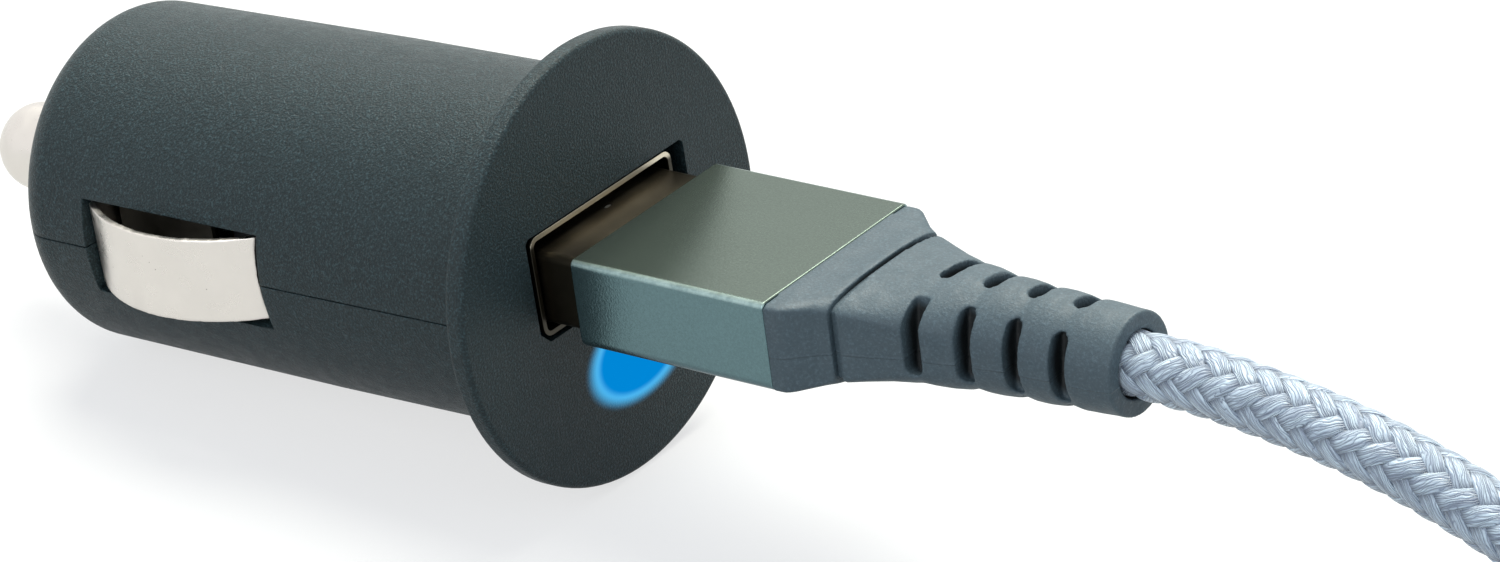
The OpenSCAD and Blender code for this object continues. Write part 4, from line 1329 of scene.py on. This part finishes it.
class CHARGER_OT_plug(bpy.types.Operator):
    """Fold the plug's metal shell and make the aluminium sleeve"""

    bl_idname = "charger.plug"
    bl_label = "Plug and sleeve"

    def execute(self, context):
        sizes = context.scene.lead_sizes
        w, h = sizes.plug_width, sizes.plug_height
        shell = make("plug_tube", add_rounded_bar, PLUG_TIP, PLUG_END, w, h, 0.5)
        cut_with(shell, add_rounded_bar, PLUG_TIP - 1, PLUG_END + 1, w - 2 * SHEET, h - 2 * SHEET, 0.25)
        # Two windows, and the seam along the underside
        openings = bmesh.new()
        add_pair(openings, (PLUG_TIP + 5.2, PLUG_TIP + 7.4), (1.7, 4.1), (-4, 4))
        add_block(openings, (PLUG_TIP - 1, -0.03, -h), (PLUG_END + 1, 0.03, 0))
        cut(shell, openings)
        soften(shell, 0.05, 2, 50)
        finish = sheet_finish("plug_metal", screen(122, 114, 98), LEAD, 0.34, 0.8, glint_and_dark_sides=True)
        dress(shell, LEAD, "lead", finish, ["plug_shell"], sharp=50)

        width, height = sizes.sleeve_width, sizes.sleeve_height
        sleeve = make("sleeve", add_rounded_bar, *SLEEVE_X, width, height, sizes.sleeve_edge, 6, 0.7)
        cut_with(sleeve, add_rounded_bar, SLEEVE_X[0] - 1, SLEEVE_X[1] + 1, w + 0.1, h + 0.1, 0.3)
        soften(sleeve, 0.1, 3, 50)
        finish = sleeve_finish(context, (width / 2, height / 2))
        dress(sleeve, LEAD, "lead", finish, ["plug_housing"], sharp=50)
        return {"FINISHED"}


# Boot sections: place, half width, straight side, crown and how square the crown's corners are
BOOT_FORM = [
    (16.3, 6.83, 2.3, 0.43, 5),
    (17.1, 6.8, 2.3, 0.43, 5),
    (17.5, 6.62, 2.28, 0.43, 4.5),
    (18.1, 6.1, 2.2, 0.52, 3.6),
    (18.75, 5.55, 2.08, 0.72, 2.8),
    (19.02, 5.4, 2.04, 0.8, 2.5),
    (19.4, 5.22, 1.98, 0.87, 2.27),
    (19.8, 5.09, 1.91, 0.94, 2.16),
    (20.8, 4.8, 1.75, 1.1, 2),
    (22.3, 4.35, 1.45, 1.4, 2),
    (23.3, 4.12, 1.25, 1.66, 2),
    (23.9, 3.93, 1.14, 1.77, 2),
    (24.6, 3.86, 1.0, 2.05, 2),
    (25.4, 3.72, 0.83, 2.31, 2),
    (26.2, 3.52, 0.68, 2.43, 2),
    (26.88, 3.36, 0.56, 2.42, 2),
    (27.6, 3.33, 0.44, 2.69, 2),
    (28.35, 3.27, 0.34, 2.83, 2),
    (29.1, 3.18, 0.26, 2.86, 2),
    (29.8, 3.06, 0.18, 2.8, 2),
    (30.5, 3.14, 0.14, 2.97, 2),
    (31.25, 3.13, 0.1, 3.02, 2),
    (32.0, 3.08, 0.08, 2.97, 2),
    (32.72, 2.96, 0.05, 2.86, 2),
    (33.5, 3.04, 0.04, 2.98, 2),
    (34.6, 3.0, 0.03, 2.95, 2),
    (35.4, 2.95, 0.02, 2.92, 2),
    (36.02, 2.94, 0.02, 2.91, 2),
    (36.1, 2.88, 0.02, 2.85, 2),
]


def boot_ring(x, half, straight, crown, square):
    """One cross-section of the boot."""
    steps = 96
    ring = []
    for i in range(steps):
        a = TAU * (i + 0.5) / steps
        c, s = math.cos(a), math.sin(a)
        y = half * math.copysign(abs(c) ** (2 / square), c)
        z = math.copysign(straight, s) + crown * math.copysign(abs(s) ** (2 / square), s)
        ring.append((x, y, z))
    return ring


def boot_section(x):
    """Half width, straight side, crown and squareness of the boot at x."""
    places = [f[0] for f in BOOT_FORM]
    return [np.interp(x, places, [f[k] for f in BOOT_FORM]) for k in (1, 2, 3, 4)]


def paint_recess_shade(boot):
    """Stores on each point how deep it lies in a slot, a groove or the cord's hole, as the rubber's painted shade.
    """
    spots = np.empty(3 * len(boot.data.vertices))
    boot.data.vertices.foreach_get("co", spots)
    x, y, z = np.abs(spots.reshape(-1, 3)).T
    half, straight, crown, square = boot_section(x)
    crown_share = np.maximum(z - straight, 0) / crown
    share = ((y / half) ** square + crown_share ** square) ** (1 / square)
    recess_shade = np.clip((0.9 - share) / 0.16, 0, 1)
    # Neither end face gets the painted shade
    recess_shade[(x < 17) | (x > BOOT_END - 0.12)] = 0
    boot.data.attributes.new("recess_shade", "FLOAT", "POINT").data.foreach_set("value", recess_shade)


class CHARGER_OT_boot(bpy.types.Operator):
    """Loft the strain relief in two parts with a groove between them, and cut its flex slots"""

    bl_idname = "charger.boot"
    bl_label = "Strain relief"

    def execute(self, context):
        sizes = context.scene.lead_sizes
        finish = rubber_finish(context)
        front = [s for s in BOOT_FORM if s[0] <= GROOVE_X[0]]
        back = [s for s in BOOT_FORM if s[0] >= GROOVE_X[1]]
        for name, sections in (("boot_collar", front), ("boot_taper", back)):
            boot = make(name, add_loft, [boot_ring(*s) for s in sections])
            if sections is back:
                self.cut_slots(boot, sizes)
                cut_with(boot, add_drum, BOOT_END - 1.6, BOOT_END + 1, BOOT_HOLE)
            remesh = boot.modifiers.new("Even mesh", "REMESH")
            remesh.mode = "VOXEL"
            remesh.voxel_size = 0.1
            bake(boot)
            relax = boot.modifiers.new("Relax", "SMOOTH")
            relax.factor = 0.5
            relax.iterations = 3
            bake(boot)
            paint_recess_shade(boot)
            dress(boot, LEAD, "lead", finish, ["strain_relief"], sharp=None)
        bm = bmesh.new()
        add_rounded_bar(bm, PLUG_END + 0.1, SLEEVE_X[1] + 0.3, 11.9, 4.4, 0.4)
        add_loft(bm, [boot_ring(x, 4.8, 1.92, 0.58, 2.2) for x in (GROOVE_X[0] - 0.4, GROOVE_X[1] + 0.4)])
        dress(link("boot_core", bm), LEAD, "lead", finish)
        return {"FINISHED"}

    def cut_slots(self, boot, sizes):
        """The slots on all four sides, turned together. Their tools keep clear of each other."""
        width, depth = sizes.flex_width, sizes.flex_depth
        tool = bmesh.new()
        for x, tall, rise, wide, shift in FLEX:
            half, straight, crown, _ = boot_section(x)
            for side in (-1, 1):
                self.add_slot(tool, x, tall, width, half - depth, side, "side", -side * rise)
                self.add_slot(tool, x, wide, width, straight + crown - depth * 0.8, side, "top", side * shift)
        tool.transform(Matrix.Rotation(FLEX_ROLL, 4, "X"))
        cut(boot, tool)

    def add_slot(self, tool, x, length, width, floor, side, kind, shift):
        """One round-ended slot tool, pointing out of a side or out of the top or bottom."""
        bm = bmesh.new()
        add_rounded_bar(bm, 0, 3, 2 * length, width, width / 2 - 0.01, 8)
        if kind == "side":
            turn = Matrix.Rotation(side * math.pi / 2, 4, "Z") @ Matrix.Rotation(math.pi / 2, 4, "X")
            offset = (x, side * floor, shift)
        else:
            turn = Matrix.Rotation(-side * math.pi / 2, 4, "Y")
            offset = (x, shift, side * floor)
        bm.transform(turn)
        bm.transform(Matrix.Translation(offset))
        made = bpy.data.meshes.new("slot")
        bm.to_mesh(made)
        bm.free()
        tool.from_mesh(made)
        bpy.data.meshes.remove(made)


# The far end


class CHARGER_OT_far_end(bpy.types.Operator):
    """Make the small connector at the far end of the cord"""

    bl_idname = "charger.far_end"
    bl_label = "Far connector"

    def execute(self, context):
        self.add_relief(context)
        self.add_sleeve(context)
        self.add_shell()
        return {"FINISHED"}

    def add_relief(self, context):
        """A turned relief with three grooves."""
        outline = [(0, 0), (0, 2.25), (0.12, 2.35), (1.8, 2.4)]
        for i in range(3):
            x = 2.0 + 2.4 * i
            r = 2.36 + 0.026 * x
            outline += [(x, r), (x + 0.06, 2.0), (x + 0.74, 2.0), (x + 0.8, r + 0.02)]
        outline += [(FAR_SLEEVE_X[0] - 0.1, 2.6), (FAR_SLEEVE_X[0], 2.5), (FAR_SLEEVE_X[0], 0)]
        relief = make("far_boot", add_turned, outline, 48)
        soften(relief, 0.07, 2, 40)
        finish = rubber_finish(context, "far_rubber", FAR, seam=False)
        dress(relief, FAR, "lead", finish, ["far_relief"])

    def add_sleeve(self, context):
        """A closed sleeve of the same finish as the plug's."""
        width, height = 10.6, 5.4
        sleeve = make("far_sleeve", add_rounded_bar, *FAR_SLEEVE_X, width, height, 0.8, 6)
        soften(sleeve, 0.15, 3, 50)
        finish = sleeve_finish(context, (width / 2, height / 2), "far_aluminium", FAR)
        dress(sleeve, FAR, "lead", finish, ["far_housing"], sharp=50)

    def add_shell(self):
        """The rounded shell, closed at its root, with a tongue in its mouth."""
        root = FAR_SLEEVE_X[1]
        shell = make("far_tube", add_rounded_bar, root, FAR_TIP, 8.3, 2.4, 1.19, 10)
        cut_with(shell, add_rounded_bar, root + 0.6, FAR_TIP + 1.4, 7.8, 1.9, 0.94, 10)
        bm = open_mesh(shell)
        add_block(bm, (root + 0.5, -2.95, -0.35), (FAR_TIP - 1, 2.95, 0.35))
        close_mesh(shell, bm)
        soften(shell, 0.06, 2, 50)
        finish = sheet_finish("far_metal", screen(190, 190, 186), FAR, 0.26, 0.85)
        dress(shell, FAR, "lead", finish, ["far_shell"], sharp=50)


# Inner pieces that keep their CAD shape


class CHARGER_OT_inside(bpy.types.Operator):
    """Give the pieces inside the charger and the plug their finishes"""

    bl_idname = "charger.inside"
    bl_label = "Inner pieces"

    def execute(self, context):
        def metal(name, colour, rough, grain, depth):
            return plain_finish(name, colour, rough=rough, metal=1.0, grain=grain, depth=depth)

        steel = metal("spring_steel", screen(170, 172, 176), 0.28, 0.1, 0.003)
        brass = metal("brass", screen(200, 164, 84), 0.32, 0.15, 0.004)
        # The straps' tin is darkened as painted shade, since they lie inside the barrel
        shaded_tin = metal("tinned_strip", screen(90, 88, 82), 0.45, 0.3, 0.006)
        gold = metal("gold_plate", screen(214, 178, 92), 0.22, 0.1, 0.002)
        can = metal("capacitor_can", screen(168, 172, 178), 0.3, 0.2, 0.008)
        black = plain_finish("black_plastic", screen(34, 36, 38), rough=0.5, grain=0.12, depth=0.006)
        white = plain_finish("white_plastic", screen(226, 226, 220), LEAD, 0.45, grain=0.15, depth=0.006)
        finishes = {
            "contact_spring": steel,
            "spring_seat": brass,
            "ground_strap_left": shaded_tin,
            "ground_strap_right": shaded_tin,
            "circuit_board": board_finish(),
            "socket_tongue": black,
            "socket_contacts": gold,
            "choke": plain_finish("ferrite", screen(72, 74, 76), rough=0.62, grain=0.1, depth=0.01),
            "input_capacitor": can,
            "output_capacitor": plain_finish("ceramic_chip", screen(176, 142, 104), rough=0.4),
            "regulator_chip": black,
            "status_led": plain_finish("lamp_clear", screen(206, 228, 240), rough=0.12, depth=0.002),
            "plug_insulator": white,
            "plug_contacts": gold,
        }
        for node, finish in finishes.items():
            data = frame["nodes"][node].data
            data.materials.clear()
            data.materials.append(finish)
        return {"FINISHED"}


# Panel and registration


class CHARGER_PT_pieces(bpy.types.Panel):
    """The charger's pieces, sizes and colours"""

    bl_idname = "CHARGER_PT_pieces"
    bl_label = "Car USB charger"
    bl_space_type = "VIEW_3D"
    bl_region_type = "UI"
    bl_category = "Charger"

    def draw(self, context):
        layout = self.layout
        for group in (context.scene.charger_sizes, context.scene.lead_sizes, context.scene.charger_colours):
            box = layout.box()
            for name in group.__annotations__:
                box.prop(group, name)
        for operator in OPERATORS:
            layout.operator(operator.bl_idname)


OPERATORS = [
    CHARGER_OT_stage, CHARGER_OT_cord, CHARGER_OT_barrel, CHARGER_OT_face, CHARGER_OT_contacts,
    CHARGER_OT_port, CHARGER_OT_plug, CHARGER_OT_boot, CHARGER_OT_far_end, CHARGER_OT_inside,
]
GROUPS = {
    "charger_sizes": ChargerSizes,
    "lead_sizes": LeadSizes,
    "charger_colours": ChargerColours,
}


def register():
    for name, group in GROUPS.items():
        bpy.utils.register_class(group)
        setattr(bpy.types.Scene, name, PointerProperty(type=group))
    for operator in OPERATORS:
        bpy.utils.register_class(operator)
    bpy.utils.register_class(CHARGER_PT_pieces)


def unregister():
    bpy.utils.unregister_class(CHARGER_PT_pieces)
    for operator in reversed(OPERATORS):
        bpy.utils.unregister_class(operator)
    for name, group in GROUPS.items():
        delattr(bpy.types.Scene, name)
        bpy.utils.unregister_class(group)


def main():
    register()
    for operator in OPERATORS:
        group, name = operator.bl_idname.split(".")
        getattr(getattr(bpy.ops, group), name)()


if __name__ == "__main__":
    main()
